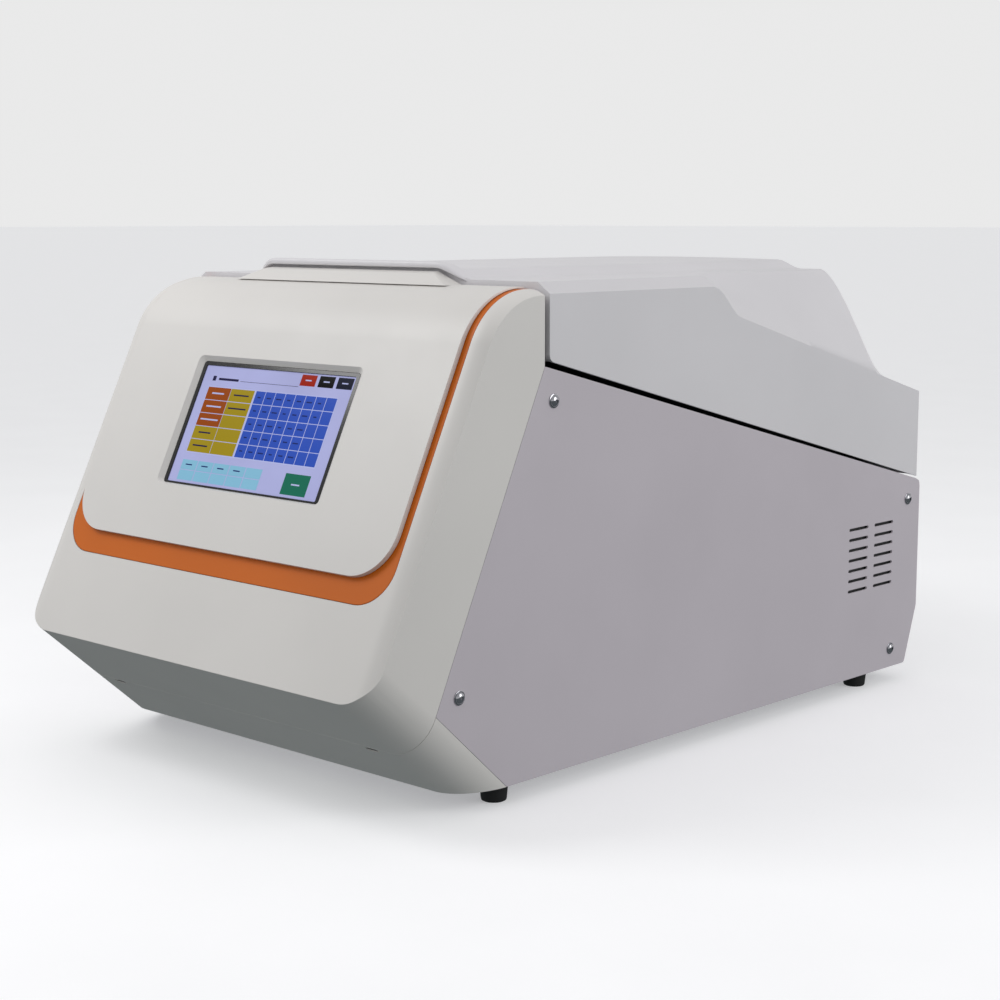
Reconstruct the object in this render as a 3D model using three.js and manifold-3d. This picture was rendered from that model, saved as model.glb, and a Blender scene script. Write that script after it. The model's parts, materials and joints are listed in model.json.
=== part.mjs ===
// Benchtop thermal cycler with a touch screen on its sloping front and a rear-hinged clamshell lid.
// Millimetres. +X to the viewer's right, +Y to the rear, +Z up.
// Everything is drawn in the case frame: Y = 0 and Z = 0 at the lower front corner of the side
// panels, X = 0 on the centre plane. The last group lifts the case onto its feet and centres it.
import * as THREE from "three";
import { mergeVertices } from "three/addons/utils/BufferGeometryUtils.js";
import Module from "manifold-3d";

const wasm = await Module();
wasm.setup();

// ---------------------------------------------------------------- driving dimensions
const HALF_WIDTH = 181.6;
const SHEET = 1.5; // steel panels
const WALL = 3; // moulded covers
const SEAM = 0.4; // gap between pieces that meet
const FAR = 1000; // beyond every outline

const FRONT_OVERHANG = 124.2; // the screen housing reaches this far ahead of the side panels
const REAR_FACE = 503;
const INLET_FLANGE = 1.6;

const SEAM_FRONT = [36, 272]; // lid seam on the side panels, front end
const SEAM_REAR = [496.5, 154];
const SEAM_SLOPE = (SEAM_REAR[1] - SEAM_FRONT[1]) / (SEAM_REAR[0] - SEAM_FRONT[0]);
const CHIN_TOP = [-65, 59];
const REAR_KNEE = [REAR_FACE, 47];
const REAR_FOOT_Y = 486.5;
const PANEL_OUTLINE = [[0, 0], [REAR_FOOT_Y, 0], REAR_KNEE, [REAR_FACE, 145], SEAM_REAR, SEAM_FRONT, CHIN_TOP];

const FACE_ANGLE = THREE.MathUtils.degToRad(64.1); // slope of the front face from horizontal
const FACE_POINT = [-62.1, 201.9]; // where s = 0 on the front face
const TOP_RADIUS = 57; // the face bends over this radius into the flat top
const TOP_HEIGHT = 321.5;
const HOUSING_REAR = SEAM_FRONT[0];
const CHIN_CREST = [-124.2, 74]; // lower edge of the front face
const CHIN_ANGLE = THREE.MathUtils.degToRad(41.1); // slope of the underside of the housing
const CHIN_ROUND = 27;

const FOOT_HEIGHT = 12.7;
const FOOT_RADIUS = 9.5;
const FOOT_X = 166;
const FOOT_Y = [4, 436];

const LID_FRONT = 40.4;
const LID_REAR = 497.5;
const LID_GAP_FRONT = 4.4;
const LID_GAP_REAR = 2;
const HINGE_AXIS = [498, 151];
const KNUCKLE_RADIUS = 5;
const PIN_RADIUS = 2.2;

const BAY = { halfX: 80, front: 103, rear: 211, floor: 208 };
const BLOCK = { halfX: 58, halfY: 40, y: 157, bottom: 209, top: 225.5 };
const WELL = { columns: 12, rows: 8, pitch: 9, radius: 3, depth: 13 };
const HEATED_PLATE = { halfX: 63, halfY: 44, bottom: 234, top: 242 };

const DISPLAY = { halfX: 81, halfS: 45.7, s: 25, recess: 0.9, rim: 2.4 };

const FAN = { x: 43, size: 80, depth: 25, y: 235, z: 158, bore: 38, hub: 16 };

const STEEL = { color: 0xb9b4b9, roughness: 0.5, metalness: 0.2 };
const COVER = { color: 0xd9d7d2, roughness: 0.42, metalness: 0 };
const LID_PAINT = { color: 0xcfccd0, roughness: 0.38, metalness: 0 };
const ORANGE = { color: 0xcc6a2c, roughness: 0.45, metalness: 0 };
const BLACK = { color: 0x17171a, roughness: 0.4, metalness: 0 };
const RUBBER = { color: 0x111111, roughness: 0.8, metalness: 0 };
const GLASS = { color: 0x8f92c8, roughness: 0.1, metalness: 0 };
const CHROME = { color: 0xc8c8cc, roughness: 0.2, metalness: 1 };
const ALUMINIUM = { color: 0xb4b6ba, roughness: 0.35, metalness: 0.9 };
const CIRCUIT = { color: 0x1f5a38, roughness: 0.5, metalness: 0 };
const CERAMIC = { color: 0xe8e6e0, roughness: 0.6, metalness: 0 };
const GREY_PLASTIC = { color: 0x6d6f73, roughness: 0.55, metalness: 0 };

// ---------------------------------------------------------------- solids
function solidFrom(geometry) {
  geometry.deleteAttribute("normal");
  geometry.deleteAttribute("uv");
  const merged = mergeVertices(geometry, 1e-4);
  return new wasm.Manifold(new wasm.Mesh({
    numProp: 3,
    vertProperties: merged.attributes.position.array,
    triVerts: Uint32Array.from(merged.index.array),
  }));
}

function geometryFrom(solid) {
  const mesh = solid.getMesh();
  const geometry = new THREE.BufferGeometry();
  geometry.setAttribute("position", new THREE.BufferAttribute(mesh.vertProperties, 3));
  geometry.setIndex(new THREE.BufferAttribute(mesh.triVerts, 1));
  geometry.computeVertexNormals();
  return geometry;
}

function box(x0, x1, y0, y1, z0, z1) {
  const geometry = new THREE.BoxGeometry(x1 - x0, y1 - y0, z1 - z0);
  geometry.translate((x0 + x1) / 2, (y0 + y1) / 2, (z0 + z1) / 2);
  return solidFrom(geometry);
}

function outline(points) {
  return new THREE.Shape(points.map(([a, b]) => new THREE.Vector2(a, b)));
}

// Extrudes a shape whose axes lie along `across` and `up`, from `start` over `length` along their normal.
function extrudeOn(shape, across, up, origin, start, length, curveSegments = 8) {
  const geometry = new THREE.ExtrudeGeometry(shape, { depth: length, bevelEnabled: false, curveSegments });
  geometry.translate(0, 0, start);
  const normal = new THREE.Vector3().crossVectors(across, up);
  geometry.applyMatrix4(new THREE.Matrix4().makeBasis(across, up, normal).setPosition(origin));
  return solidFrom(geometry);
}

const X_AXIS = new THREE.Vector3(1, 0, 0);
const Y_AXIS = new THREE.Vector3(0, 1, 0);
const Z_AXIS = new THREE.Vector3(0, 0, 1);

// A (Y, Z) outline extruded across X.
function sideProfile(points, x0, x1) {
  return extrudeOn(outline(points), Y_AXIS, Z_AXIS, new THREE.Vector3(), x0, x1 - x0);
}

function cylinder(axis, radius, start, end, across, up, sides = 16, endRadius = radius) {
  const geometry = new THREE.CylinderGeometry(endRadius, radius, end - start, sides);
  geometry.translate(0, (start + end) / 2, 0);
  if (axis === "x") {
    geometry.rotateZ(-Math.PI / 2);
    geometry.translate(0, across, up);
  } else if (axis === "y") {
    geometry.translate(across, 0, up);
  } else {
    geometry.rotateX(Math.PI / 2);
    geometry.translate(across, up, 0);
  }
  return solidFrom(geometry);
}

function unite(solids) {
  return solids.reduce((whole, piece) => whole.add(piece));
}

// ---------------------------------------------------------------- front housing frame
const FACE_UP = [Math.cos(FACE_ANGLE), Math.sin(FACE_ANGLE)];
const FACE_OUT = [-Math.sin(FACE_ANGLE), Math.cos(FACE_ANGLE)];
const FACE_ORIGIN = new THREE.Vector3(0, ...FACE_POINT);
const FACE_UP_AXIS = new THREE.Vector3(0, ...FACE_UP);

function facePoint(s, out) {
  return [0, 1].map((i) => FACE_POINT[i] + s * FACE_UP[i] + out * FACE_OUT[i]);
}

// The face from height s up the slope, over the bend and back along the top to `rear`. The path lies
// `out` proud of the slope and `topOut` proud of the flat top.
function facePath(out, s, rear, topOut = out) {
  const steps = 8;
  const first = Math.PI / 2 + FACE_ANGLE;
  const radius = TOP_RADIUS + out;
  const [slopeY, slopeZ] = facePoint(0, out);
  const centreZ = TOP_HEIGHT + topOut - radius;
  const centreY = slopeY + (radius + FACE_OUT[1] * (centreZ - slopeZ)) / -FACE_OUT[0];
  const path = [facePoint(s, out)];
  for (let i = 0; i <= steps; i += 1) {
    const angle = first - (FACE_ANGLE * i) / steps;
    path.push([centreY + radius * Math.cos(angle), centreZ + radius * Math.sin(angle)]);
  }
  path.push([rear, TOP_HEIGHT + topOut]);
  return path;
}

function roundedWindow(halfX, bottom, top, radius, topRadius = radius) {
  const shape = new THREE.Shape();
  shape.moveTo(-halfX, top - topRadius);
  shape.lineTo(-halfX, bottom + radius);
  shape.absarc(-halfX + radius, bottom + radius, radius, Math.PI, 1.5 * Math.PI, false);
  shape.absarc(halfX - radius, bottom + radius, radius, 1.5 * Math.PI, 2 * Math.PI, false);
  shape.lineTo(halfX, top - topRadius);
  if (topRadius > 0) {
    shape.absarc(halfX - topRadius, top - topRadius, topRadius, 0, 0.5 * Math.PI, false);
    shape.absarc(-halfX + topRadius, top - topRadius, topRadius, 0.5 * Math.PI, Math.PI, false);
  } else {
    shape.lineTo(-halfX, top);
  }
  return shape;
}

// A prism square to the front face, between two distances out from it.
function facePrism(shape, inner, outer) {
  return extrudeOn(shape, X_AXIS, FACE_UP_AXIS, FACE_ORIGIN, inner, outer - inner);
}

// The layer between two offsets of the face, up to `rear`, with round lower corners.
function faceLayer(inner, outer, { halfX, bottom, radius, rear, topRise = outer }) {
  const ring = [...facePath(outer, bottom - 1, rear, topRise), ...facePath(inner, bottom - 1, rear).reverse()];
  const layer = sideProfile(ring, -halfX, halfX);
  return layer.intersect(facePrism(roundedWindow(halfX, bottom, FAR, radius, 0), -FAR, FAR));
}

// Everything above the sloping underside, with its lower edges rounded, drawn in by `inset`.
function chinEnvelope(inset) {
  const inward = new THREE.Vector3(0, Math.sin(CHIN_ANGLE), Math.cos(CHIN_ANGLE));
  const origin = new THREE.Vector3(0, ...CHIN_CREST);
  const shape = roundedWindow(HALF_WIDTH - inset, inset, FAR + FAR, CHIN_ROUND - inset, 0);
  return extrudeOn(shape, X_AXIS, inward, origin, -FAR, FAR + FAR);
}

function housingSolid(inset) {
  const rear = 2 * FAR;
  const profile = [...facePath(-inset, -FAR, rear), [rear, -FAR]];
  return sideProfile(profile, -HALF_WIDTH + inset, HALF_WIDTH - inset).intersect(chinEnvelope(inset));
}

const housingOuter = housingSolid(0);
const housingInner = housingSolid(WALL);

// ---------------------------------------------------------------- front pieces
const PLATE = { halfX: 163.4, bottom: -63.5, radius: 32, rear: HOUSING_REAR, rise: 3.8, topRise: 1.2 };
const TRIM = { halfX: 168.2, bottom: -80, radius: 27, rear: HOUSING_REAR, depth: 1.6 };
const TRIM_INNER = { halfX: 157.5, bottom: -58, radius: 26 };
const RAMP = { halfX: 107, topHalfX: 84.5, front: 19, flat: 7, height: 331.2 };
const PLATE_WINDOW = roundedWindow(85.2, -22.4, 74.2, 4.5);
const DISPLAY_CLEARANCE = 0.6;
const BEZEL_WINDOW = roundedWindow(
  DISPLAY.halfX + DISPLAY_CLEARANCE,
  DISPLAY.s - DISPLAY.halfS - DISPLAY_CLEARANCE,
  DISPLAY.s + DISPLAY.halfS + DISPLAY_CLEARANCE,
  2,
);

function seamPoint(below) {
  const run = [CHIN_TOP[0] - SEAM_FRONT[0], CHIN_TOP[1] - SEAM_FRONT[1]];
  const scale = 1 + below / Math.hypot(...run);
  return [SEAM_FRONT[0] + run[0] * scale, SEAM_FRONT[1] + run[1] * scale];
}

function frontBezel() {
  const region = [[HOUSING_REAR, FAR], [-FAR, FAR], [-FAR, -FAR], seamPoint(FAR), SEAM_FRONT];
  const front = sideProfile(region.map(([y, z]) => [y - SEAM, z]), -FAR, FAR);
  const { halfX, bottom, depth } = TRIM;
  const groove = faceLayer(-depth - SEAM, 1, { ...TRIM, halfX: halfX + SEAM, bottom: bottom - SEAM });
  const island = trimOpening(SEAM);
  return housingOuter
    .subtract(housingInner)
    .intersect(front)
    .subtract(groove.subtract(island))
    .subtract(facePrism(BEZEL_WINDOW, -20, 20));
}

function frontChin() {
  const region = [CHIN_TOP, seamPoint(60), [-120, 0], [0, 0]];
  const strip = sideProfile(region.map(([y, z]) => [y - SEAM, z]), -FAR, FAR);
  return housingOuter.subtract(housingInner).intersect(strip).subtract(bezelShadow());
}

// The space of the bezel behind its seam, so that the chin stops short of it.
function bezelShadow() {
  const seam = [seamPoint(FAR), seamPoint(-FAR)];
  const region = [[-3 * FAR, -FAR], ...seam, [-3 * FAR, FAR]];
  return sideProfile(region, -FAR, FAR);
}

function frontPlate() {
  const layer = faceLayer(SEAM, PLATE.rise, PLATE);
  const wedge = [
    [RAMP.front, TOP_HEIGHT + 1], [HOUSING_REAR, TOP_HEIGHT + 1],
    [HOUSING_REAR, RAMP.height], [HOUSING_REAR - RAMP.flat, RAMP.height],
    [RAMP.front, TOP_HEIGHT + PLATE.topRise],
  ];
  const across = outline([
    [-RAMP.halfX, TOP_HEIGHT + 1], [RAMP.halfX, TOP_HEIGHT + 1],
    [RAMP.topHalfX, RAMP.height + 0.1], [-RAMP.topHalfX, RAMP.height + 0.1],
  ]);
  const prism = extrudeOn(across, X_AXIS, Z_AXIS, new THREE.Vector3(), -FAR, FAR + FAR);
  const ramp = sideProfile(wedge, -RAMP.halfX, RAMP.halfX).intersect(prism);
  return layer.add(ramp).subtract(facePrism(PLATE_WINDOW, -20, 20));
}

function accentTrim() {
  return faceLayer(-TRIM.depth, 0, TRIM).subtract(trimOpening(0));
}

// The space that the U-shaped trim runs around, drawn in by `inset`.
function trimOpening(inset) {
  const { halfX, bottom, radius } = TRIM_INNER;
  return facePrism(roundedWindow(halfX - inset, bottom + inset, FAR, radius, 0), -FAR, FAR);
}

// A rectangular piece behind the screen opening, square to the face.
function displayPiece(halfX, halfS, inner, outer) {
  const [low, high] = [DISPLAY.s - halfS, DISPLAY.s + halfS];
  const corners = [[-halfX, low], [halfX, low], [halfX, high], [-halfX, high]];
  return facePrism(outline(corners), inner, outer);
}

const BRACKET = { halfX: 98, halfS: 58, back: -13, front: -11.4, tab: 14 };
const BOARD = { halfX: 86, halfS: 46, back: -22, front: -20.4, chipBack: -25 };
const CHIPS = [[-50, 6], [0, 14], [48, 9]]; // place across the board, half width

function displayFrame() {
  const { halfX, halfS, recess, rim } = DISPLAY;
  const body = displayPiece(halfX, halfS, BRACKET.front + SEAM, -recess);
  return body.subtract(displayPiece(halfX - rim, halfS - rim, -20, 0));
}

function touchDisplay() {
  const { halfX, halfS, recess, rim } = DISPLAY;
  const inset = rim + SEAM;
  return displayPiece(halfX - inset, halfS - inset, -7, -recess - 0.6);
}

function displayBracket() {
  const { halfX, halfS, back, front, tab } = BRACKET;
  const plate = displayPiece(halfX, halfS, back, front);
  const tabs = [-1, 1].map((side) => (
    displayPiece(tab / 2, halfS, back, -WALL - SEAM).translate([side * (halfX - tab / 2), 0, 0])
  ));
  return unite([plate, ...tabs]);
}

function controlBoard() {
  const board = displayPiece(BOARD.halfX, BOARD.halfS, BOARD.back, BOARD.front);
  const chips = CHIPS.map(([x, half]) => (
    displayPiece(half, half, BOARD.chipBack, BOARD.back + 0.5).translate([x, 0, 0])
  ));
  return unite([board, ...chips]);
}

// ---------------------------------------------------------------- case
function seamHeight(y) {
  return SEAM_FRONT[1] + SEAM_SLOPE * (y - SEAM_FRONT[0]);
}

const VENT = { columns: [398.9, 435.6], long: 27.7, rows: 7, first: 70.4, pitch: 8.3, high: 2.5 };

function ventSlots(x0, x1) {
  const slots = [];
  for (let row = 0; row < VENT.rows; row += 1) {
    const z = VENT.first + row * VENT.pitch;
    for (const y of VENT.columns) {
      slots.push(box(x0, x1, y, y + VENT.long, z, z + VENT.high));
    }
  }
  return unite(slots);
}

function sidePanel(side) {
  const inner = HALF_WIDTH - SHEET;
  const sheet = sideProfile(PANEL_OUTLINE, inner, HALF_WIDTH);
  const panel = sheet.subtract(ventSlots(inner - 1, HALF_WIDTH + 1));
  return side > 0 ? panel : panel.mirror([1, 0, 0]);
}

const INSIDE = HALF_WIDTH - SHEET - SEAM;

const PAN = { front: -60, rear: REAR_FOOT_Y - 3, flange: -30, flangeHalfX: 149.7, rim: 12 };
const INTAKE = { outermost: 5, pitch: 12, halfX: 1.6, front: 120, rear: 200 };

function bottomPan() {
  const { front, rear, flange, flangeHalfX, rim } = PAN;
  const floor = box(-INSIDE, INSIDE, front, rear, 0, SHEET);
  const frontFlange = box(-flangeHalfX, flangeHalfX, flange, flange + SHEET, 0, rim);
  const rearFlange = box(-INSIDE, INSIDE, rear - SHEET, rear, 0, rim);
  const slots = [];
  for (let i = -INTAKE.outermost; i <= INTAKE.outermost; i += 1) {
    const x = i * INTAKE.pitch;
    slots.push(box(x - INTAKE.halfX, x + INTAKE.halfX, INTAKE.front, INTAKE.rear, -1, SHEET + 1));
  }
  return floor.intersect(chinEnvelope(WALL + SEAM)).add(frontFlange).add(rearFlange).subtract(unite(slots));
}

const FLANGE = { top: 144.6, front: 466 }; // the rear panel's fold under the hinges
const EXHAUST = { x0: -30, x1: 60, first: 62, pitch: 7.5, rows: 9, high: 3.2 };
const INLET = { x: 112, z: 84, halfX: 24, halfZ: 31, wall: 3 };
const USB = { x: -60, z: 90, halfX: 9, halfZ: 9, cavities: [[0, -4, 13.2, 5.6], [0, 4, 13.2, 5.6]] };
const NETWORK = { x: -95, z: 90, halfX: 8, halfZ: 7, cavities: [[0, 0, 12, 8.4]] };

function rearPanel() {
  const t = SHEET;
  const profile = [
    [REAR_FOOT_Y - 1.4, 1], [REAR_FOOT_Y + 0.2, 0], REAR_KNEE,
    [REAR_FACE, FLANGE.top], [FLANGE.front, FLANGE.top],
    [FLANGE.front, FLANGE.top - t], [REAR_FACE - t, FLANGE.top - t], [REAR_FACE - t, REAR_KNEE[1] + 0.3],
  ];
  const openings = [
    rearOpening(INLET, -INLET.wall),
    rearOpening(USB, SEAM),
    rearOpening(NETWORK, SEAM),
  ];
  for (let row = 0; row < EXHAUST.rows; row += 1) {
    const z = EXHAUST.first + row * EXHAUST.pitch;
    openings.push(box(EXHAUST.x0, EXHAUST.x1, REAR_FACE - 4, REAR_FACE + 4, z, z + EXHAUST.high));
  }
  return sideProfile(profile, -INSIDE, INSIDE).subtract(unite(openings));
}

// The cut-out for a fitting in the rear panel, `grow` wider than the fitting all round.
function rearOpening({ x, z, halfX, halfZ }, grow) {
  const a = halfX + grow;
  const b = halfZ + grow;
  return box(x - a, x + a, REAR_FACE - 4, REAR_FACE + 4, z - b, z + b);
}

function powerInlet() {
  const { x, z, halfX, halfZ, wall } = INLET;
  const a = halfX - wall - SEAM;
  const b = halfZ - wall - SEAM;
  const flange = box(x - halfX, x + halfX, REAR_FACE + 0.3, REAR_FACE + INLET_FLANGE, z - halfZ, z + halfZ);
  const body = box(x - a, x + a, REAR_FACE - 26, REAR_FACE + 0.5, z - b, z + b);
  const socket = box(x - 12, x + 12, REAR_FACE - 17, FAR + FAR, z - 24, z - 7.6);
  const rocker = box(x - 10.3, x + 10.3, REAR_FACE - 12, FAR + FAR, z + 4, z + 24);
  return flange.add(body).subtract(socket).subtract(rocker);
}

const SWITCH_PIVOT = [REAR_FACE - 6, INLET.z + 14];
const SWITCH_TILT = -7; // degrees, upper half standing out

function powerSwitch() {
  const profile = [[-5, -5], [6, -8.6], [4, 0], [6, 8.6], [-5, 5]];
  const rocker = sideProfile(profile, INLET.x - 9.7, INLET.x + 9.7);
  return rocker.rotate([SWITCH_TILT, 0, 0]).translate([0, ...SWITCH_PIVOT]);
}

// A flanged socket in the rear panel; each cavity is [across, up, width, height] from its middle.
function portBlock({ x, z, halfX, halfZ, cavities }) {
  const lip = 1.5;
  const flange = box(
    x - halfX - lip, x + halfX + lip, REAR_FACE + 0.3, REAR_FACE + 1.2, z - halfZ - lip, z + halfZ + lip,
  );
  const body = box(x - halfX, x + halfX, REAR_FACE - 16, REAR_FACE + 0.6, z - halfZ, z + halfZ);
  const holes = cavities.map(([across, up, width, height]) => (
    box(-width / 2, width / 2, REAR_FACE - 13, FAR, -height / 2, height / 2).translate([x + across, 0, z + up])
  ));
  return flange.add(body).subtract(unite(holes));
}

const DECK = { front: HOUSING_REAR + SEAM, rear: 462, drop: 6, upstandTop: 311, upstandInset: 4 };

function deckTop(y) {
  return seamHeight(y) - DECK.drop;
}

// The moulded deck under the lid: a sloping plate, an upstand at its front and a bay for the block.
function innerDeck() {
  const { front, rear, upstandTop, upstandInset } = DECK;
  const plate = sideProfile([
    [front, deckTop(front)], [rear, deckTop(rear)],
    [rear, deckTop(rear) - WALL], [front, deckTop(front) - WALL],
  ], -INSIDE, INSIDE);
  const half = INSIDE - upstandInset;
  const upstand = box(-half, half, front, front + 1.6, deckTop(front) - 2, upstandTop);
  const below = sideProfile([
    [-FAR, deckTop(-FAR)], [2 * FAR, deckTop(2 * FAR)], [2 * FAR, -FAR], [-FAR, -FAR],
  ], -FAR, FAR);
  const { halfX, front: y0, rear: y1, floor } = BAY;
  const tray = box(-halfX - WALL, halfX + WALL, y0 - WALL, y1 + WALL, floor - WALL, FAR).intersect(below);
  const inside = box(-halfX, halfX, y0, y1, floor, FAR);
  return plate.add(upstand).add(tray).subtract(inside).subtract(blockOpening(1, 0));
}

// A shaft around the sample block, `gap` wider all round, from z up.
function blockOpening(gap, z) {
  const a = BLOCK.halfX + gap;
  const b = BLOCK.halfY + gap;
  return box(-a, a, BLOCK.y - b, BLOCK.y + b, z, FAR);
}

// ---------------------------------------------------------------- sample block and cooling
const FRAME = { halfX: 70, halfY: 52, rise: 1.5 };
const PELTIER = { x: 29, y: 20, halfX: 28, halfY: 19, bottom: 205.2, top: 208.7 };
const SINK = { halfX: 72, halfY: 60, bottom: 142, base: 192, top: 204.7, outermost: 7, pitch: 9.8, fin: 2 };

function blockFrame() {
  const { halfX, halfY, rise } = FRAME;
  const ring = box(-halfX, halfX, BLOCK.y - halfY, BLOCK.y + halfY, BAY.floor + 0.3, BLOCK.top + rise);
  return ring.subtract(blockOpening(0.6, 0));
}

function sampleBlock() {
  const { halfX, halfY, y, bottom, top } = BLOCK;
  const block = box(-halfX, halfX, y - halfY, y + halfY, bottom, top);
  const wells = [];
  for (let column = 0; column < WELL.columns; column += 1) {
    for (let row = 0; row < WELL.rows; row += 1) {
      const x = (column - (WELL.columns - 1) / 2) * WELL.pitch;
      const wellY = y + (row - (WELL.rows - 1) / 2) * WELL.pitch;
      const cone = new THREE.ConeGeometry(WELL.radius, WELL.depth, 6);
      cone.rotateX(-Math.PI / 2);
      cone.translate(x, wellY, top - WELL.depth / 2 + 0.01);
      wells.push(solidFrom(cone));
    }
  }
  return block.subtract(wasm.Manifold.union(wells));
}

function peltierModule(column, row) {
  const x = column * PELTIER.x;
  const y = BLOCK.y + row * PELTIER.y;
  const { halfX, halfY, bottom, top } = PELTIER;
  return box(x - halfX, x + halfX, y - halfY, y + halfY, bottom, top);
}

function heatsink() {
  const { halfX, halfY, bottom, base, top, outermost, pitch, fin } = SINK;
  const y0 = BLOCK.y - halfY;
  const y1 = BLOCK.y + halfY;
  const pieces = [box(-halfX, halfX, y0, y1, base, top)];
  for (let i = -outermost; i <= outermost; i += 1) {
    const x = i * pitch;
    pieces.push(box(x - fin / 2, x + fin / 2, y0, y1, bottom, base + 1));
  }
  return unite(pieces);
}

function fanFrame(side) {
  const half = FAN.size / 2 - 0.4;
  const x = side * FAN.x;
  const housing = box(x - half, x + half, FAN.y, FAN.y + FAN.depth, FAN.z - half, FAN.z + half);
  const bore = cylinder("y", FAN.bore, FAN.y - 1, FAN.y + FAN.depth + 1, x, FAN.z, 24);
  const hub = cylinder("y", FAN.hub, FAN.y + FAN.depth - 4, FAN.y + FAN.depth, x, FAN.z, 16);
  const strut = box(x - 1.5, x + 1.5, FAN.y + FAN.depth - 3, FAN.y + FAN.depth, FAN.z - half, FAN.z + half);
  const cross = box(x - half, x + half, FAN.y + FAN.depth - 3, FAN.y + FAN.depth, FAN.z - 1.5, FAN.z + 1.5);
  return housing.subtract(bore).add(hub).add(strut).add(cross);
}

function fanRotor(side) {
  const blades = 7;
  const x = side * FAN.x;
  const hub = cylinder("y", FAN.hub, FAN.y + 1, FAN.y + FAN.depth - 5, x, FAN.z, 16);
  const pieces = [hub];
  for (let i = 0; i < blades; i += 1) {
    const blade = new THREE.BoxGeometry(FAN.bore - FAN.hub - 0.5, 1.6, 20);
    blade.rotateX(-0.6 - Math.PI / 2);
    blade.translate((FAN.bore + FAN.hub) / 2 - 1.5, FAN.y + 10.5, 0);
    blade.rotateY((2 * Math.PI * i) / blades);
    blade.translate(x, 0, FAN.z);
    pieces.push(solidFrom(blade));
  }
  const envelope = cylinder("y", FAN.bore - 1.5, FAN.y + 1, FAN.y + FAN.depth - 5, x, FAN.z, 24);
  return unite(pieces).intersect(envelope);
}

const BULKHEAD = { halfX: 110, sheet: 1.6, bottom: 2 };

function fanBulkhead() {
  const rear = FAN.y - SEAM;
  const top = FAN.z + FAN.size / 2 - SEAM;
  const plate = box(-BULKHEAD.halfX, BULKHEAD.halfX, rear - BULKHEAD.sheet, rear, BULKHEAD.bottom, top);
  const holes = [-1, 1].map((side) => cylinder("y", FAN.bore, FAN.y - 5, FAN.y + 5, side * FAN.x, FAN.z, 24));
  return plate.subtract(unite(holes));
}

const SUPPLY = { x0: 40, x1: 150, y0: 290, y1: 450, z0: 5, z1: 58, sheet: 1.2, plinth: 12, plinthBottom: 1.9 };

// A folded steel box, open towards the rear, on a plinth.
function powerSupply() {
  const { x0, x1, y0, y1, z0, z1, sheet: t, plinth, plinthBottom } = SUPPLY;
  const enclosure = box(x0, x1, y0, y1, z0, z1).subtract(box(x0 + t, x1 - t, y0 + t, FAR, z0 + t, z1 - t));
  return enclosure.add(box(x0 + plinth, x1 - plinth, y0 + 10, y1 - 10, plinthBottom, z0 + 0.5));
}

// ---------------------------------------------------------------- lid
const smooth = THREE.MathUtils.smoothstep;
const mix = THREE.MathUtils.lerp;

const SHOULDER = 326;
const SIDE_CREST = 318.5;
const CHAMFER = 10.7;
const PLATEAU = { rise: 7, halfX: 89, footX: 112, top: 446, rear: 460 };
const HAUNCH = { start: 214, side: 248, full: 262, centre: 426, rear: 450, spread: 50, curve: 1.4 };

function haunch(y) {
  return 292 - 0.28 * (y - 261.6);
}

function crestAtSide(y) {
  return mix(SIDE_CREST, haunch(y), smooth(y, HAUNCH.start, HAUNCH.side));
}

function crestAtCentre(y) {
  return mix(SHOULDER, haunch(y), smooth(y, HAUNCH.centre, HAUNCH.rear));
}

function plateauRise(x, y) {
  const across = 1 - smooth(Math.abs(x), PLATEAU.halfX, PLATEAU.footX);
  const along = 1 - smooth(y, PLATEAU.top, PLATEAU.rear);
  return PLATEAU.rise * across * along;
}

function lidRoof(x, y) {
  const fromSide = HALF_WIDTH - Math.abs(x);
  const spread = mix(CHAMFER, HAUNCH.spread, smooth(y, HAUNCH.start, HAUNCH.full));
  const blend = Math.min(fromSide / spread, 1);
  const eased = 1 - (1 - blend) ** HAUNCH.curve;
  return mix(crestAtSide(y), crestAtCentre(y), eased) + plateauRise(x, y);
}

function lidEdge(y) {
  const along = (y - LID_FRONT) / (LID_REAR - LID_FRONT);
  return seamHeight(y) + mix(LID_GAP_FRONT, LID_GAP_REAR, along);
}

const LID_COLUMNS = [-1, -0.97, -0.94, -0.85, -0.75, -0.617, -0.56, -0.49, 0];
const LID_ROWS = [LID_FRONT, 130, 214, 222, 230, 238, 248, 275, 340, 426, 432, 438, 444, 450, 460, LID_REAR];

// A box whose top follows the roof and whose underside follows `floorAt`, drawn in by `inset`.
function lidSolid(inset, floorAt) {
  const columns = [...LID_COLUMNS, ...LID_COLUMNS.slice(0, -1).map((c) => -c).reverse()];
  const geometry = new THREE.BoxGeometry(1, 1, 1, columns.length - 1, LID_ROWS.length - 1, 1);
  const position = geometry.attributes.position;
  for (let i = 0; i < position.count; i += 1) {
    const column = columns[Math.round((position.getX(i) + 0.5) * (columns.length - 1))];
    const row = LID_ROWS[Math.round((position.getY(i) + 0.5) * (LID_ROWS.length - 1))];
    const x = column * HALF_WIDTH;
    const top = position.getZ(i) > 0;
    const z = top ? lidRoof(x, row) - inset : floorAt(row);
    const insetX = column * (HALF_WIDTH - inset);
    const insetY = THREE.MathUtils.clamp(row, LID_FRONT + inset, LID_REAR - inset);
    position.setXYZ(i, insetX, insetY, z);
  }
  return solidFrom(geometry);
}

const HOOD = { halfX: 88.3, front: 33.5, rear: 47, bottom: 333.4, top: 337.8 };

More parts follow.
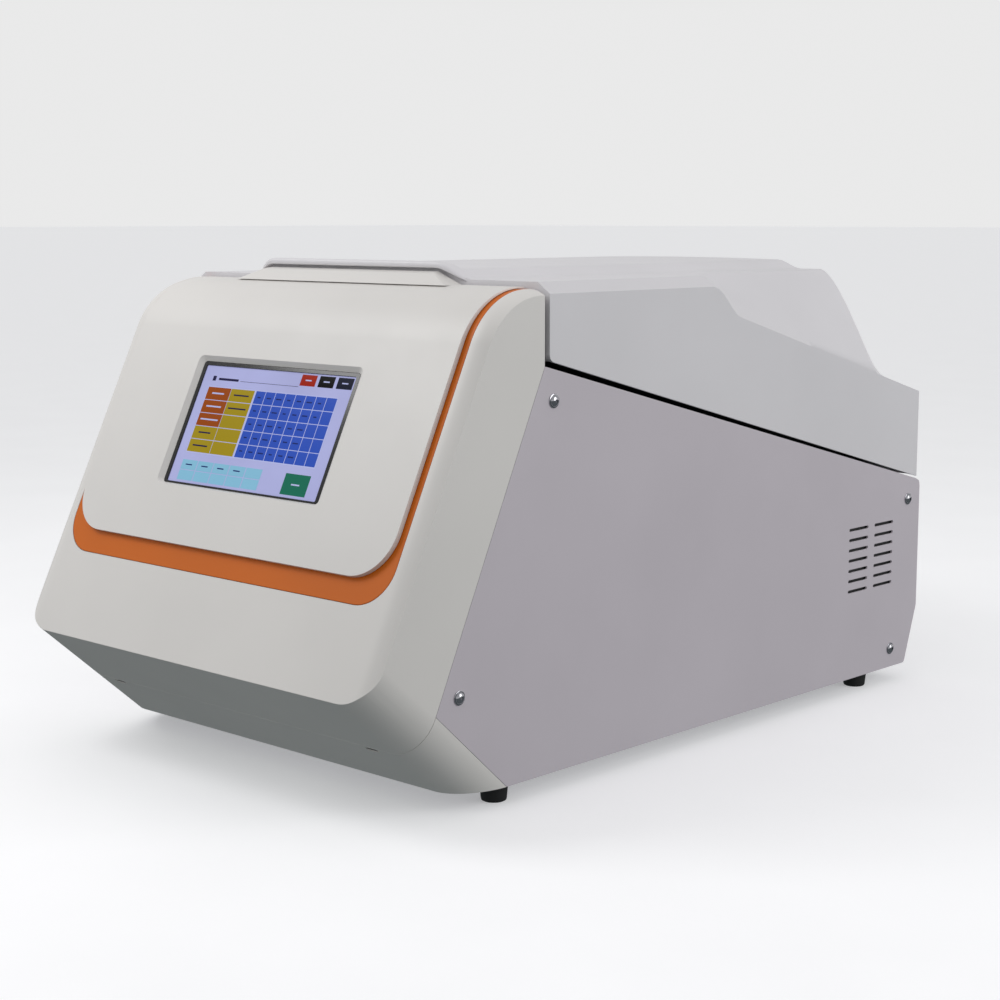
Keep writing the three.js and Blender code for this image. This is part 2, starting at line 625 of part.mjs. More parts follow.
function lidShell() {
  const shell = lidSolid(0, lidEdge).subtract(lidSolid(WALL, (y) => lidEdge(y) - 20));
  const lip = box(-HOOD.halfX, HOOD.halfX, HOOD.front, HOOD.rear, HOOD.bottom, HOOD.top);
  const root = box(-HOOD.halfX, HOOD.halfX, LID_FRONT, HOOD.rear, SHOULDER - 1, HOOD.top);
  const hingeNotch = box(-INSIDE, INSIDE, LID_REAR - 10, FAR, 0, HINGE_AXIS[1] + KNUCKLE_RADIUS + 1.2);
  return shell.add(lip).add(root).subtract(hingeNotch);
}

const LINER = { front: 46, rear: 486, halfX: HALF_WIDTH - WALL - 0.6, lift: 2, thick: 2.5 };

function linerBottom(y) {
  return lidEdge(y) + LINER.lift;
}

function lidLiner() {
  const { front, rear, halfX, thick } = LINER;
  const plate = sideProfile([
    [front, linerBottom(front)], [rear, linerBottom(rear)],
    [rear, linerBottom(rear) + thick], [front, linerBottom(front) + thick],
  ], -halfX, halfX);
  return plate.subtract(box(-74, 74, 104, 210, 0, FAR));
}

const POSTS = [-1, 1].flatMap((sx) => [-1, 1].map((sy) => [sx * 50, BLOCK.y + sy * 32]));
const CARRIER = { halfX: 78, front: 100, rear: 214, top: 272 };

function plateCarrier() {
  const { halfX, front, rear, top } = CARRIER;
  const foot = (y) => linerBottom(y) + LINER.thick + SEAM;
  const above = sideProfile([
    [-FAR, foot(-FAR)], [2 * FAR, foot(2 * FAR)], [2 * FAR, 2 * FAR], [-FAR, 2 * FAR],
  ], -FAR, FAR);
  const hat = box(-halfX, halfX, front, rear, 0, top).intersect(above);
  const hollow = box(-halfX + WALL, halfX - WALL, front + WALL, rear - WALL, -1, top - WALL);
  const holes = POSTS.map(([x, y]) => cylinder("z", 3.6, top - 10, top + 10, x, y, 12));
  return hat.subtract(hollow).subtract(unite(holes));
}

function heatedPlate() {
  const { halfX, halfY, bottom, top } = HEATED_PLATE;
  const plate = box(-halfX, halfX, BLOCK.y - halfY, BLOCK.y + halfY, bottom, top);
  const posts = POSTS.map(([x, y]) => cylinder("z", 3, top - 1, CARRIER.top + 8, x, y, 12));
  return unite([plate, ...posts]);
}

function plateSpring([x, y]) {
  const tube = cylinder("z", 6, HEATED_PLATE.top + 0.3, CARRIER.top - WALL - 0.3, x, y, 12);
  return tube.subtract(cylinder("z", 3.8, 0, FAR, x, y, 12));
}

// ---------------------------------------------------------------- hinges, catch, feet, fasteners
const HINGE = { x: 105, half: 30, middle: 11.5, sheet: 2.4, drop: 6 };

function knuckle(x0, x1) {
  const barrel = cylinder("x", KNUCKLE_RADIUS, x0, x1, ...HINGE_AXIS, 20);
  return barrel.subtract(cylinder("x", PIN_RADIUS + 0.4, x0 - 1, x1 + 1, ...HINGE_AXIS, 16));
}

function hingeLeafBase(side) {
  const centre = side * HINGE.x;
  const [y, z] = HINGE_AXIS;
  const z0 = z - HINGE.drop;
  const z1 = z0 + HINGE.sheet;
  const pieces = [box(centre - HINGE.half, centre + HINGE.half, 470, 491, z0, z1)];
  for (const end of [-1, 1]) {
    const x0 = Math.min(end * (HINGE.middle + 0.5), end * HINGE.half) + centre;
    const x1 = Math.max(end * (HINGE.middle + 0.5), end * HINGE.half) + centre;
    pieces.push(knuckle(x0, x1));
    pieces.push(box(x0, x1, 490, y - 3, z0, z1));
  }
  const bore = cylinder("x", PIN_RADIUS + 0.4, centre - FAR, centre + FAR, ...HINGE_AXIS, 16);
  return unite(pieces).subtract(bore);
}

function hingeLeafLid(side) {
  const centre = side * HINGE.x;
  const [y, z] = HINGE_AXIS;
  const y0 = y - 6.2;
  const y1 = y0 + HINGE.sheet;
  const low = box(centre - HINGE.middle, centre + HINGE.middle, y0, y1, z, z + 9);
  const high = box(centre - HINGE.half, centre + HINGE.half, y0, y1, z + 8, z + 34);
  const bore = cylinder("x", PIN_RADIUS + 0.4, centre - FAR, centre + FAR, ...HINGE_AXIS, 16);
  return unite([knuckle(centre - HINGE.middle, centre + HINGE.middle), low, high]).subtract(bore);
}

function hingePin(side) {
  const centre = side * HINGE.x;
  return cylinder("x", PIN_RADIUS, centre - HINGE.half, centre + HINGE.half, ...HINGE_AXIS, 16);
}

function foot(x, y) {
  const pad = cylinder("z", FOOT_RADIUS - 1, -FOOT_HEIGHT, -0.3, x, y, 20, FOOT_RADIUS);
  return pad.subtract(cylinder("z", 3.4, -FOOT_HEIGHT - 1, -FOOT_HEIGHT + 6, x, y, 12));
}

function screw(side, [y, z]) {
  const radius = 4.8;
  const height = 2.4;
  const start = HALF_WIDTH + 0.3;
  const profile = [[0, 0], [radius, 0], [radius - 0.4, 0.9], [radius * 0.62, 2], [1.9, height], [1.9, 1], [0, 1]];
  const geometry = new THREE.LatheGeometry(profile.map(([r, h]) => new THREE.Vector2(r, h)), 12);
  geometry.rotateZ(-Math.PI / 2);
  if (side < 0) {
    geometry.rotateY(Math.PI);
  }
  geometry.translate(side * start, y, z);
  return solidFrom(geometry);
}

const BUMPER = { x: 150, y: 56 };

function lidBumper(side) {
  const start = seamHeight(BUMPER.y) - 4.5;
  return cylinder("z", 5, start, linerBottom(BUMPER.y) - 1.6, side * BUMPER.x, BUMPER.y, 16, 4);
}

const CATCH = { halfX: 20, y: 62, halfY: 6 };

function lidMagnet() {
  const { halfX, y, halfY } = CATCH;
  return box(-halfX, halfX, y - halfY, y + halfY, seamHeight(y) - 4, linerBottom(y) - 3.6);
}

function strikePlate() {
  const { halfX, y, halfY } = CATCH;
  return box(-halfX, halfX, y - halfY, y + halfY, linerBottom(y) - 3.2, linerBottom(y) - 1.9);
}

// ---------------------------------------------------------------- assembly
const part = new THREE.Group();
part.name = "thermal_cycler";
const caseGroup = new THREE.Group();
const depth = FRONT_OVERHANG + REAR_FACE + INLET_FLANGE;
caseGroup.position.set(0, FRONT_OVERHANG - depth / 2, FOOT_HEIGHT);
part.add(caseGroup);

function place(name, solid, look) {
  const mesh = new THREE.Mesh(geometryFrom(solid), new THREE.MeshStandardMaterial(look));
  mesh.name = name;
  caseGroup.add(mesh);
}

place("bottom_pan", bottomPan(), STEEL);
place("rear_panel", rearPanel(), STEEL);
place("front_bezel", frontBezel(), COVER);
place("front_chin", frontChin(), COVER);
place("front_plate", frontPlate(), COVER);
place("accent_trim", accentTrim(), ORANGE);
place("display_frame", displayFrame(), BLACK);
place("touch_display", touchDisplay(), GLASS);
place("display_bracket", displayBracket(), STEEL);
place("control_board", controlBoard(), CIRCUIT);
place("inner_deck", innerDeck(), GREY_PLASTIC);
place("block_frame", blockFrame(), BLACK);
place("sample_block", sampleBlock(), ALUMINIUM);
place("heatsink", heatsink(), ALUMINIUM);
place("fan_bulkhead", fanBulkhead(), STEEL);
place("power_supply", powerSupply(), STEEL);
place("power_inlet", powerInlet(), BLACK);
place("power_switch", powerSwitch(), BLACK);
place("usb_socket", portBlock(USB), CHROME);
place("network_socket", portBlock(NETWORK), CHROME);
place("lid_shell", lidShell(), LID_PAINT);
place("lid_liner", lidLiner(), GREY_PLASTIC);
place("plate_carrier", plateCarrier(), STEEL);
place("heated_plate", heatedPlate(), ALUMINIUM);
place("lid_magnet", lidMagnet(), BLACK);
place("strike_plate", strikePlate(), CHROME);

[[-1, -1], [1, -1], [-1, 1], [1, 1]].forEach(([column, row], i) => {
  place(`peltier_module_${i + 1}`, peltierModule(column, row), CERAMIC);
});
POSTS.forEach((post, i) => place(`plate_spring_${i + 1}`, plateSpring(post), CHROME));

const SCREWS = {
  front_upper: [44.5, 249.3],
  front_lower: [-44.5, 67.7],
  rear_upper: [484.8, 138],
  rear_lower: [463.8, 15.7],
};
for (const [hand, side] of [["left", -1], ["right", 1]]) {
  place(`side_panel_${hand}`, sidePanel(side), STEEL);
  place(`fan_frame_${hand}`, fanFrame(side), BLACK);
  place(`fan_rotor_${hand}`, fanRotor(side), BLACK);
  place(`hinge_leaf_base_${hand}`, hingeLeafBase(side), STEEL);
  place(`hinge_leaf_lid_${hand}`, hingeLeafLid(side), STEEL);
  place(`hinge_pin_${hand}`, hingePin(side), CHROME);
  place(`lid_bumper_${hand}`, lidBumper(side), RUBBER);
  place(`foot_front_${hand}`, foot(side * FOOT_X, FOOT_Y[0]), RUBBER);
  place(`foot_rear_${hand}`, foot(side * FOOT_X, FOOT_Y[1]), RUBBER);
  for (const [where, spot] of Object.entries(SCREWS)) {
    place(`screw_${where}_${hand}`, screw(side, spot), CHROME);
  }
}

export default part;
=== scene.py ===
import json
import math

import bmesh
import bpy
from mathutils import Matrix, Vector


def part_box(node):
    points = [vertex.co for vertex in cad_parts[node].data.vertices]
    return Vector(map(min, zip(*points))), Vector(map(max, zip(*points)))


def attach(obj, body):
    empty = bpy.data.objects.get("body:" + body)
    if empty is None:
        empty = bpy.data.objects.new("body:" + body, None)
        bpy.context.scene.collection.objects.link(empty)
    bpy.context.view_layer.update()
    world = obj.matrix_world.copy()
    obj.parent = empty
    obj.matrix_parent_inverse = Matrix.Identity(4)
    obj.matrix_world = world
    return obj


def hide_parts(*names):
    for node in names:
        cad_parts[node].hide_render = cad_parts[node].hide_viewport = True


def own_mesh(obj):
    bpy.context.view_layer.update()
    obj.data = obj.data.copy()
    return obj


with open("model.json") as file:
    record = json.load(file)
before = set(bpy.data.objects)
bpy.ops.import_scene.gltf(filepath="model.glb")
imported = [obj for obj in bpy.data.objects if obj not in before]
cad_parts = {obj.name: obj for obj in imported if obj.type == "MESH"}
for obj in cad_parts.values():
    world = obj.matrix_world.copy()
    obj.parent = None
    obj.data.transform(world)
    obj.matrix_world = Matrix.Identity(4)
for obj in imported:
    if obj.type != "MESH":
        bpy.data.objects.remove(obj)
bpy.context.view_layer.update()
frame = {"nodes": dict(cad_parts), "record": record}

MM = 0.001

# ---------------------------------------------------------------- driving dimensions (mm, degrees)
HALF_WIDTH = 181.6
REAR_FACE = 503
SHEET = 1.5
WALL = 3
SEAM = 0.4
FAR = 700

SEAM_FRONT = (36, 272)
SEAM_REAR = (496.5, 154)
SEAM_SLOPE = (SEAM_REAR[1] - SEAM_FRONT[1]) / (SEAM_REAR[0] - SEAM_FRONT[0])
CHIN_TOP = (-65, 59)
SIDE_FOOT_Y = 486.5
SIDE_KNEE_Z = 47
SIDE_REAR_TOP = (489, 156)

FACE_ANGLE = math.radians(64.1)
FACE_POINT = (-62.1, 201.9)
TOP_RADIUS = 57
TOP_HEIGHT = 321.5
CHIN_CREST = (-124.2, 74)
CHIN_ANGLE = math.radians(41.1)
CHIN_ROUND = 27

LID_FRONT = 40.4
LID_REAR = 497.5

BLOCK = {"half_x": 58, "half_y": 40, "y": 157, "bottom": 209, "top": 225.5}
POSTS = [(sx * 50, BLOCK["y"] + sy * 32) for sx in (-1, 1) for sy in (-1, 1)]
FAN = {"x": 43, "y": 235, "z": 158, "depth": 25, "bore": 38, "hub": 16}
INLET = {"x": 112, "z": 84}

CASE_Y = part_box("rear_panel")[1].y - REAR_FACE * MM
CASE_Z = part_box("side_panel_right")[0].z
CASE_SPACE = Matrix.Translation((0, CASE_Y, CASE_Z)) @ Matrix.Scale(MM, 4)

X_AXIS = Vector((1, 0, 0))
Y_AXIS = Vector((0, 1, 0))
Z_AXIS = Vector((0, 0, 1))
FACE_UP = Vector((0, math.cos(FACE_ANGLE), math.sin(FACE_ANGLE)))
FACE_OUT = Vector((0, -math.sin(FACE_ANGLE), math.cos(FACE_ANGLE)))
FACE_ORIGIN = Vector((0, *FACE_POINT))


# ---------------------------------------------------------------- camera
def place_camera():
    data = bpy.data.cameras.new("camera")
    data.lens = 69.4
    data.sensor_width = 36
    camera = bpy.data.objects.new("camera", data)
    right = Vector((0.7308, 0.6826, 0.0)).normalized()
    back = Vector((0.6753, -0.7231, 0.1456)).normalized()
    up = back.cross(right)
    camera.matrix_world = Matrix.Translation((1.008, -1.0817, 0.3805)) @ Matrix(
        [(right[i], up[i], back[i]) for i in range(3)]
    ).to_4x4()
    bpy.context.scene.collection.objects.link(camera)
    bpy.context.scene.camera = camera


place_camera()


# ---------------------------------------------------------------- solids
def mesh_of(verts, faces):
    mesh = bpy.data.meshes.new("solid")
    mesh.from_pydata([tuple(v) for v in verts], [], faces)
    mesh.update()
    return mesh


def bm_of(mesh):
    bm = bmesh.new()
    bm.from_mesh(mesh)
    return bm


def mesh_from(bm):
    mesh = bpy.data.meshes.new("solid")
    bm.to_mesh(mesh)
    bm.free()
    return mesh


def loft(rings):
    """A solid through rings of points, all with the same number of points, capped at both ends."""
    count = len(rings[0])
    verts = [p for ring in rings for p in ring]
    faces = []
    for a in range(0, len(verts) - count, count):
        b = a + count
        for i in range(count):
            j = (i + 1) % count
            faces.append((a + i, a + j, b + j, b + i))
    faces.append(tuple(reversed(range(count))))
    faces.append(tuple(range(len(verts) - count, len(verts))))
    bm = bm_of(mesh_of(verts, faces))
    bmesh.ops.recalc_face_normals(bm, faces=bm.faces)
    return mesh_from(bm)


def prism(points, across, up, start, length, origin=Vector((0, 0, 0))):
    """A 2-D outline with its axes along `across` and `up`, extruded along their normal."""
    normal = across.cross(up)
    rings = []
    for depth in (start, start + length):
        rings.append([origin + across * a + up * b + normal * depth for a, b in points])
    return loft(rings)


def side_prism(points, x0, x1):
    return prism(points, Y_AXIS, Z_AXIS, x0, x1 - x0)


def face_prism(points, inner, outer):
    return prism(points, X_AXIS, FACE_UP, inner, outer - inner, FACE_ORIGIN)


def box(x0, x1, y0, y1, z0, z1):
    return side_prism([(y0, z0), (y1, z0), (y1, z1), (y0, z1)], x0, x1)


def circle(radius, sides):
    angles = [2 * math.pi * i / sides for i in range(sides)]
    return [(radius * math.cos(angle), radius * math.sin(angle)) for angle in angles]


def turned(profile, sides, centre, axis):
    """A solid of revolution: profile is (distance along axis, radius), both ends closed."""
    side = Z_AXIS if abs(axis.z) < 0.5 else X_AXIS
    across = side.cross(axis).normalized()
    up = axis.cross(across)
    rings = []
    for along, radius in profile:
        middle = centre + axis * along
        rings.append([middle + across * a + up * b for a, b in circle(max(radius, 0.01), sides)])
    return loft(rings)


def combine(base, operation, tools):
    """Boolean of base with each tool in turn."""
    holder = bpy.data.objects.new("holder", base)
    bpy.context.scene.collection.objects.link(holder)
    helpers = []
    for tool in tools:
        helper = bpy.data.objects.new("tool", tool)
        bpy.context.scene.collection.objects.link(helper)
        helpers.append(helper)
        step = holder.modifiers.new("step", "BOOLEAN")
        step.operation = operation
        step.solver = "MANIFOLD"
        step.object = helper
    bpy.context.view_layer.update()
    graph = bpy.context.evaluated_depsgraph_get()
    mesh = bpy.data.meshes.new_from_object(holder.evaluated_get(graph), depsgraph=graph)
    for thing in [holder, *helpers]:
        bpy.data.objects.remove(thing)
    return merge_flats(mesh)


def cut(base, *tools):
    return combine(base, "DIFFERENCE", tools)


def keep(base, *tools):
    return combine(base, "INTERSECT", tools)


def unite(base, *tools):
    return combine(base, "UNION", tools)


def merge_flats(mesh, weld=0.002):
    """Joins the coplanar triangles that a boolean leaves."""
    bm = bm_of(mesh)
    bmesh.ops.remove_doubles(bm, verts=bm.verts, dist=weld)
    bmesh.ops.dissolve_limit(bm, angle_limit=math.radians(0.15), verts=bm.verts, edges=bm.edges)
    return mesh_from(bm)


def gather(meshes):
    """Several separate solids in one mesh."""
    bm = bmesh.new()
    for mesh in meshes:
        bm.from_mesh(mesh)
    return mesh_from(bm)


def soften(mesh, width, segments, least, chosen=lambda edge: True):
    """Rounds the chosen edges that turn by more than `least` degrees."""
    bm = bm_of(mesh)
    sharp = [e for e in bm.edges if len(e.link_faces) == 2 and e.calc_face_angle() > math.radians(least)]
    edges = [e for e in sharp if chosen(e)]
    bmesh.ops.bevel(
        bm, geom=edges, offset=width, offset_type="OFFSET", segments=segments, profile=0.5,
        affect="EDGES", clamp_overlap=True,
    )
    return mesh_from(bm)


def moved(mesh, matrix):
    copy = mesh.copy()
    copy.transform(matrix)
    if matrix.determinant() < 0:
        copy.flip_normals()
    return copy


def shifted(mesh, x=0.0, y=0.0, z=0.0):
    return moved(mesh, Matrix.Translation((x, y, z)))


def mirrored(mesh):
    return moved(mesh, Matrix.Diagonal((-1, 1, 1, 1)))


# ---------------------------------------------------------------- numbers
def smoothstep(value, low, high):
    t = min(max((value - low) / (high - low), 0), 1)
    return t * t * (3 - 2 * t)


def mix(a, b, t):
    return a + (b - a) * t


# ---------------------------------------------------------------- materials
CLOUD_STOPS = (0.3, 0.7)
SMUDGES = 5  # the patches of uneven roughness are this much finer than the colour clouds
LEAST_ROUGHNESS = 0.02
GRAIN_DEPTH = 0.0002


def linear(colour):
    return tuple(c / 12.92 if c <= 0.04045 else ((c + 0.055) / 1.055) ** 2.4 for c in colour) + (1,)


def surface_place(tree, stretch):
    """The point on the object itself, scaled by `stretch`."""
    place = tree.nodes.new("ShaderNodeTexCoord")
    scale = tree.nodes.new("ShaderNodeMapping")
    scale.inputs["Scale"].default_value = stretch
    tree.links.new(place.outputs["Object"], scale.inputs["Vector"])
    return scale.outputs["Vector"]


def noise(tree, vector, size, detail):
    node = tree.nodes.new("ShaderNodeTexNoise")
    node.inputs["Scale"].default_value = size
    node.inputs["Detail"].default_value = detail
    tree.links.new(vector, node.inputs["Vector"])
    return node.outputs["Fac"]


def clouded_colour(tree, clouds, colour, mottle):
    """The colour, drifting between a slightly darker and a slightly lighter tone."""
    tones = ([c * (1 - mottle) for c in colour], [min(c * (1 + mottle), 1) for c in colour])
    ramp = tree.nodes.new("ShaderNodeValToRGB")
    for element, stop, tone in zip(ramp.color_ramp.elements, CLOUD_STOPS, tones):
        element.position = stop
        element.color = linear(tone)
    tree.links.new(clouds, ramp.inputs["Fac"])
    return ramp.outputs["Color"]


def uneven_roughness(tree, smudges, rough, spread):
    spreader = tree.nodes.new("ShaderNodeMapRange")
    spreader.inputs["To Min"].default_value = max(rough - spread, LEAST_ROUGHNESS)
    spreader.inputs["To Max"].default_value = rough + spread
    tree.links.new(smudges, spreader.inputs["Value"])
    return spreader.outputs["Result"]


def grained_normal(tree, grain, strength):
    bumper = tree.nodes.new("ShaderNodeBump")
    bumper.inputs["Strength"].default_value = strength
    bumper.inputs["Distance"].default_value = GRAIN_DEPTH
    tree.links.new(grain, bumper.inputs["Height"])
    return bumper.outputs["Normal"]


def finish(name, colour, rough, metal=0.0, mottle=0.03, cloud=9, grain=1400, bump=0.05, spread=0.06,
           stretch=(1, 1, 1), glow=0.0, specular=0.5):
    """A procedural surface: slow colour clouds, a fine grain in the bump and an uneven roughness."""
    material = bpy.data.materials.new(name)
    material.use_nodes = True
    tree = material.node_tree
    inputs = tree.nodes["Principled BSDF"].inputs
    vector = surface_place(tree, stretch)
    tone = clouded_colour(tree, noise(tree, vector, cloud, 3), colour, mottle)
    roughness = uneven_roughness(tree, noise(tree, vector, cloud * SMUDGES, 4), rough, spread)
    normal = grained_normal(tree, noise(tree, vector, grain, 2), bump)
    tree.links.new(tone, inputs["Base Color"])
    tree.links.new(roughness, inputs["Roughness"])
    tree.links.new(normal, inputs["Normal"])
    inputs["Metallic"].default_value = metal
    inputs["Specular IOR Level"].default_value = specular
    if glow:
        tree.links.new(tone, inputs["Emission Color"])
        inputs["Emission Strength"].default_value = glow
    return material


FINISH = {
    "panel_steel": finish("lilac_powder_coat", (0.8, 0.772, 0.8), 0.45, mottle=0.012, grain=1100, bump=0.16),
    "cover_plastic": finish("warm_white_moulding", (0.895, 0.882, 0.868), 0.4, mottle=0.01, grain=2200,
                            bump=0.07),
    "lid_plastic": finish("light_grey_moulding", (0.885, 0.875, 0.888), 0.4, mottle=0.01, grain=2200,
                          bump=0.05),
    "accent_orange": finish("orange_moulding", (0.83, 0.41, 0.03), 0.45, mottle=0.02, grain=2000, bump=0.06,
                            specular=0.3),
    "display_black": finish("gloss_black", (0.045, 0.045, 0.05), 0.14, mottle=0.1, grain=1500, bump=0.02),
    "display_glass": finish("screen_ground", (0.66, 0.67, 0.84), 0.2, mottle=0.03, cloud=14, bump=0.01,
                            glow=0.25, specular=0.03),
    "plated_steel": finish("zinc_plate", (0.72, 0.72, 0.73), 0.34, metal=1, mottle=0.05, cloud=30, grain=700,
                           bump=0.1, spread=0.1),
    "spring_steel": finish("spring_wire", (0.62, 0.62, 0.64), 0.24, metal=1, mottle=0.05, grain=2600,
                           bump=0.12),
    "circuit_board": finish("solder_mask", (0.1, 0.32, 0.2), 0.35, mottle=0.08, cloud=60, grain=900,
                            bump=0.1),
    "deck_plastic": finish("dark_moulding", (0.2, 0.205, 0.215), 0.6, mottle=0.04, grain=1600, bump=0.2),
    "block_black": finish("heat_moulding", (0.13, 0.13, 0.135), 0.55, mottle=0.06, grain=1500, bump=0.2),
    "aluminium_plain": finish("machined_aluminium", (0.8, 0.8, 0.82), 0.3, metal=1, mottle=0.03, grain=260,
                              bump=0.12, stretch=(1, 12, 1)),
    "heated_aluminium": finish("anodised_aluminium", (0.6, 0.61, 0.63), 0.38, metal=1, mottle=0.03,
                               grain=1800, bump=0.1),
    "ceramic_white": finish("alumina", (0.9, 0.89, 0.86), 0.55, mottle=0.02, grain=1500, bump=0.1),
    "black_plastic": finish("matt_black_moulding", (0.1, 0.1, 0.105), 0.5, mottle=0.07, grain=1500, bump=0.2),
    "socket_metal": finish("nickel_shell", (0.66, 0.66, 0.67), 0.3, metal=1, mottle=0.05, cloud=40, grain=900,
                           bump=0.06),
    "rubber_black": finish("black_rubber", (0.06, 0.06, 0.062), 0.62, mottle=0.12, cloud=50, grain=1200,
                           bump=0.25),
    "screw_chrome": finish("bright_chrome", (0.7, 0.7, 0.72), 0.12, metal=1, mottle=0.02, grain=900,
                           bump=0.02),
}

NODE_BODY = {node: body for body, nodes in frame["record"]["behaviour"]["bodies"].items() for node in nodes}


# ---------------------------------------------------------------- pieces
def smooth_sharp(obj, width, segments, least):
    """Small rounds on the sharp edges, and normals that keep the flats flat."""
    for polygon in obj.data.polygons:
        polygon.use_smooth = True
    if width:
        rounding = obj.modifiers.new("rounding", "BEVEL")
        rounding.width = width * MM
        rounding.segments = segments
        rounding.limit_method = "ANGLE"
        rounding.angle_limit = math.radians(least)
        rounding.harden_normals = True
        rounding.miter_outer = "MITER_ARC"
    weighing = obj.modifiers.new("weighing", "WEIGHTED_NORMAL")
    weighing.keep_sharp = True
    weighing.weight = 80


def piece(name, mesh, body, slot, replaces=(), width=0.35, segments=2, least=32, looks=None):
    """Puts a case-frame mesh in the scene as a piece that rides on a CAD body."""
    final = mesh.copy()
    final.transform(CASE_SPACE)
    obj = bpy.data.objects.new(name, final)
    bpy.context.scene.collection.objects.link(obj)
    for material in looks or [FINISH[slot]]:
        final.materials.append(material)
    smooth_sharp(obj, width, segments, least)
    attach(obj, body)
    if replaces:
        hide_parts(*replaces)
    return obj


def refine(node, slot, width=0.4, segments=2):
    """A CAD node with its flats joined and its sharp edges rounded."""
    mesh = frame["nodes"][node].data.copy()
    mesh.materials.clear()
    mesh.transform(CASE_SPACE.inverted())
    return piece(f"{node}_fine", merge_flats(mesh, 0.004), NODE_BODY[node], slot, (node,), width, segments)


# ---------------------------------------------------------------- front housing
def face_point(s, out):
    point = FACE_ORIGIN + FACE_UP * s + FACE_OUT * out
    return point.y, point.z


def face_path(out, s, rear, top_out=None, steps=28):
    """The front face from height s, over the bend and back along the top.

    It lies `out` from the slope and `top_out` from the flat top.
    """
    top_out = out if top_out is None else top_out
    slope_y, slope_z = face_point(0, out)
    radius = TOP_RADIUS + out
    centre_z = TOP_HEIGHT + top_out - radius
    centre_y = slope_y + (radius + FACE_OUT.z * (centre_z - slope_z)) / -FACE_OUT.y
    path = [face_point(s, out)]
    for i in range(steps + 1):
        angle = math.pi / 2 + FACE_ANGLE * (1 - i / steps)
        path.append((centre_y + radius * math.cos(angle), centre_z + radius * math.sin(angle)))
    path.append((rear, TOP_HEIGHT + top_out))
    return path


def round_window(half_x, bottom, top, radius, top_radius=None, steps=12):
    """A rectangle with round corners; the top ones may have a radius of their own, 0 for none."""
    top_radius = radius if top_radius is None else top_radius
    points = []
    corners = [
        (-half_x, bottom, radius, math.pi), (half_x, bottom, radius, 1.5 * math.pi),
        (half_x, top, top_radius, 0), (-half_x, top, top_radius, 0.5 * math.pi),
    ]
    for x, s, r, first in corners:
        if not r:
            points.append((x, s))
            continue
        centre_x = x - math.copysign(r, x)
        centre_s = s + r if s == bottom else s - r
        for i in range(steps + 1):
            angle = first + 0.5 * math.pi * i / steps
            points.append((centre_x + r * math.cos(angle), centre_s + r * math.sin(angle)))
    return points


def chin_envelope(inset):
    """Everything behind the chin's sloping plane, with the corners along its sides rounded."""
    inward = Vector((0, math.sin(CHIN_ANGLE), math.cos(CHIN_ANGLE)))
    outline = round_window(HALF_WIDTH - inset, inset, 2 * FAR, CHIN_ROUND - inset, 0, steps=16)
    return prism(outline, X_AXIS, inward, -FAR, 2 * FAR, Vector((0, *CHIN_CREST)))


def housing(inset, crease, edge):
    """The housing's block: its face falls away beside the trim, down to the crest along each cheek."""
    rear = 2 * FAR
    span = HALF_WIDTH - CREST["start"]
    fit = (HALF_WIDTH - inset) / HALF_WIDTH
    rings = []
    for x in stations([-HALF_WIDTH, (-CREST["start"], 2), (CREST["start"], 2 * FAR), (HALF_WIDTH, 2)]):
        drop = CREST["drop"] * (max(0, abs(x) - CREST["start"]) / span) ** 2
        profile = [(rear, -FAR)] + list(reversed(face_path(-inset - drop, -FAR, rear)))
        rings.append([Vector((x * fit, y, z)) for y, z in profile])
    block = keep(loft(rings), chin_envelope(inset))
    block = soften(block, crease, 6, 40, is_crease)
    return soften(block, edge, 3, 40)


def is_crease(edge):
    """True for the long edge between the face and the underside."""
    run = (edge.verts[1].co - edge.verts[0].co).normalized()
    return abs(run.x) > 0.95 and abs(edge.verts[0].co.z - CHIN_CREST[1]) < 8


def face_layer(inner, outer, half_x, bottom, radius, top_rise=None):
    """A sheet over the face and the top, between two distances from the slope."""
    rear = SEAM_FRONT[0]
    ring = face_path(outer, bottom - 1, rear, top_rise)
    ring += reversed(face_path(inner, bottom - 1, rear))
    layer = side_prism(ring, -half_x, half_x)
    return keep(layer, face_prism(round_window(half_x, bottom, FAR, radius, 0), -FAR, FAR))


def seam_point(below):
    """The point `below` further down the line from the seam's front end through the chin's top."""
    run = Vector(CHIN_TOP) - Vector(SEAM_FRONT)
    point = Vector(SEAM_FRONT) + run * (1 + below / run.length)
    return point.x, point.y


CREST = {"start": 168.6, "drop": 4}  # the face falls away from x = start out to the sides
PLATE = {"half_x": 163.4, "bottom": -63.5, "radius": 32}
TRIM = {"half_x": 168.2, "bottom": -80, "radius": 27}
TRIM_DEPTH = 1.6
TRIM_GAP = 0.35
PLATE_RISE = 3.8
PLATE_TOP_RISE = 1.2
TRIM_INNER = (157.5, -58, 26)  # half width, bottom and corner radius inside the trim
RAMP = {"height": 331.2, "foot_y": 19, "foot_x": 107, "top_x": 84.5}
WINDOW_LOW = (81.3, -20.9, 71.0, 2.6)  # half width, bottom, top and corner radius at the screen's rim
WINDOW_HIGH = (85.2, -22.4, 74.2, 4.5)  # the same at the plate's surface
FRAME_OUT = 1  # the rim stands this far out from the housing, below the plate's surface


def between(low, high, t):
    return [mix(a, b, t) for a, b in zip(low, high)]


def screen_funnel():
    """The chamfered opening through the plate, and the straight hole behind it."""
    rings = []
    run = PLATE_RISE - FRAME_OUT
    for out, t in ((-30, 0), (FRAME_OUT, 0), (PLATE_RISE, 1), (PLATE_RISE + run, 2)):
        half_x, low, high, radius = between(WINDOW_LOW, WINDOW_HIGH, t)
        outline = round_window(half_x, low, high, radius, steps=6)
        rings.append([FACE_ORIGIN + X_AXIS * x + FACE_UP * s + FACE_OUT * out for x, s in outline])
    return loft(rings)


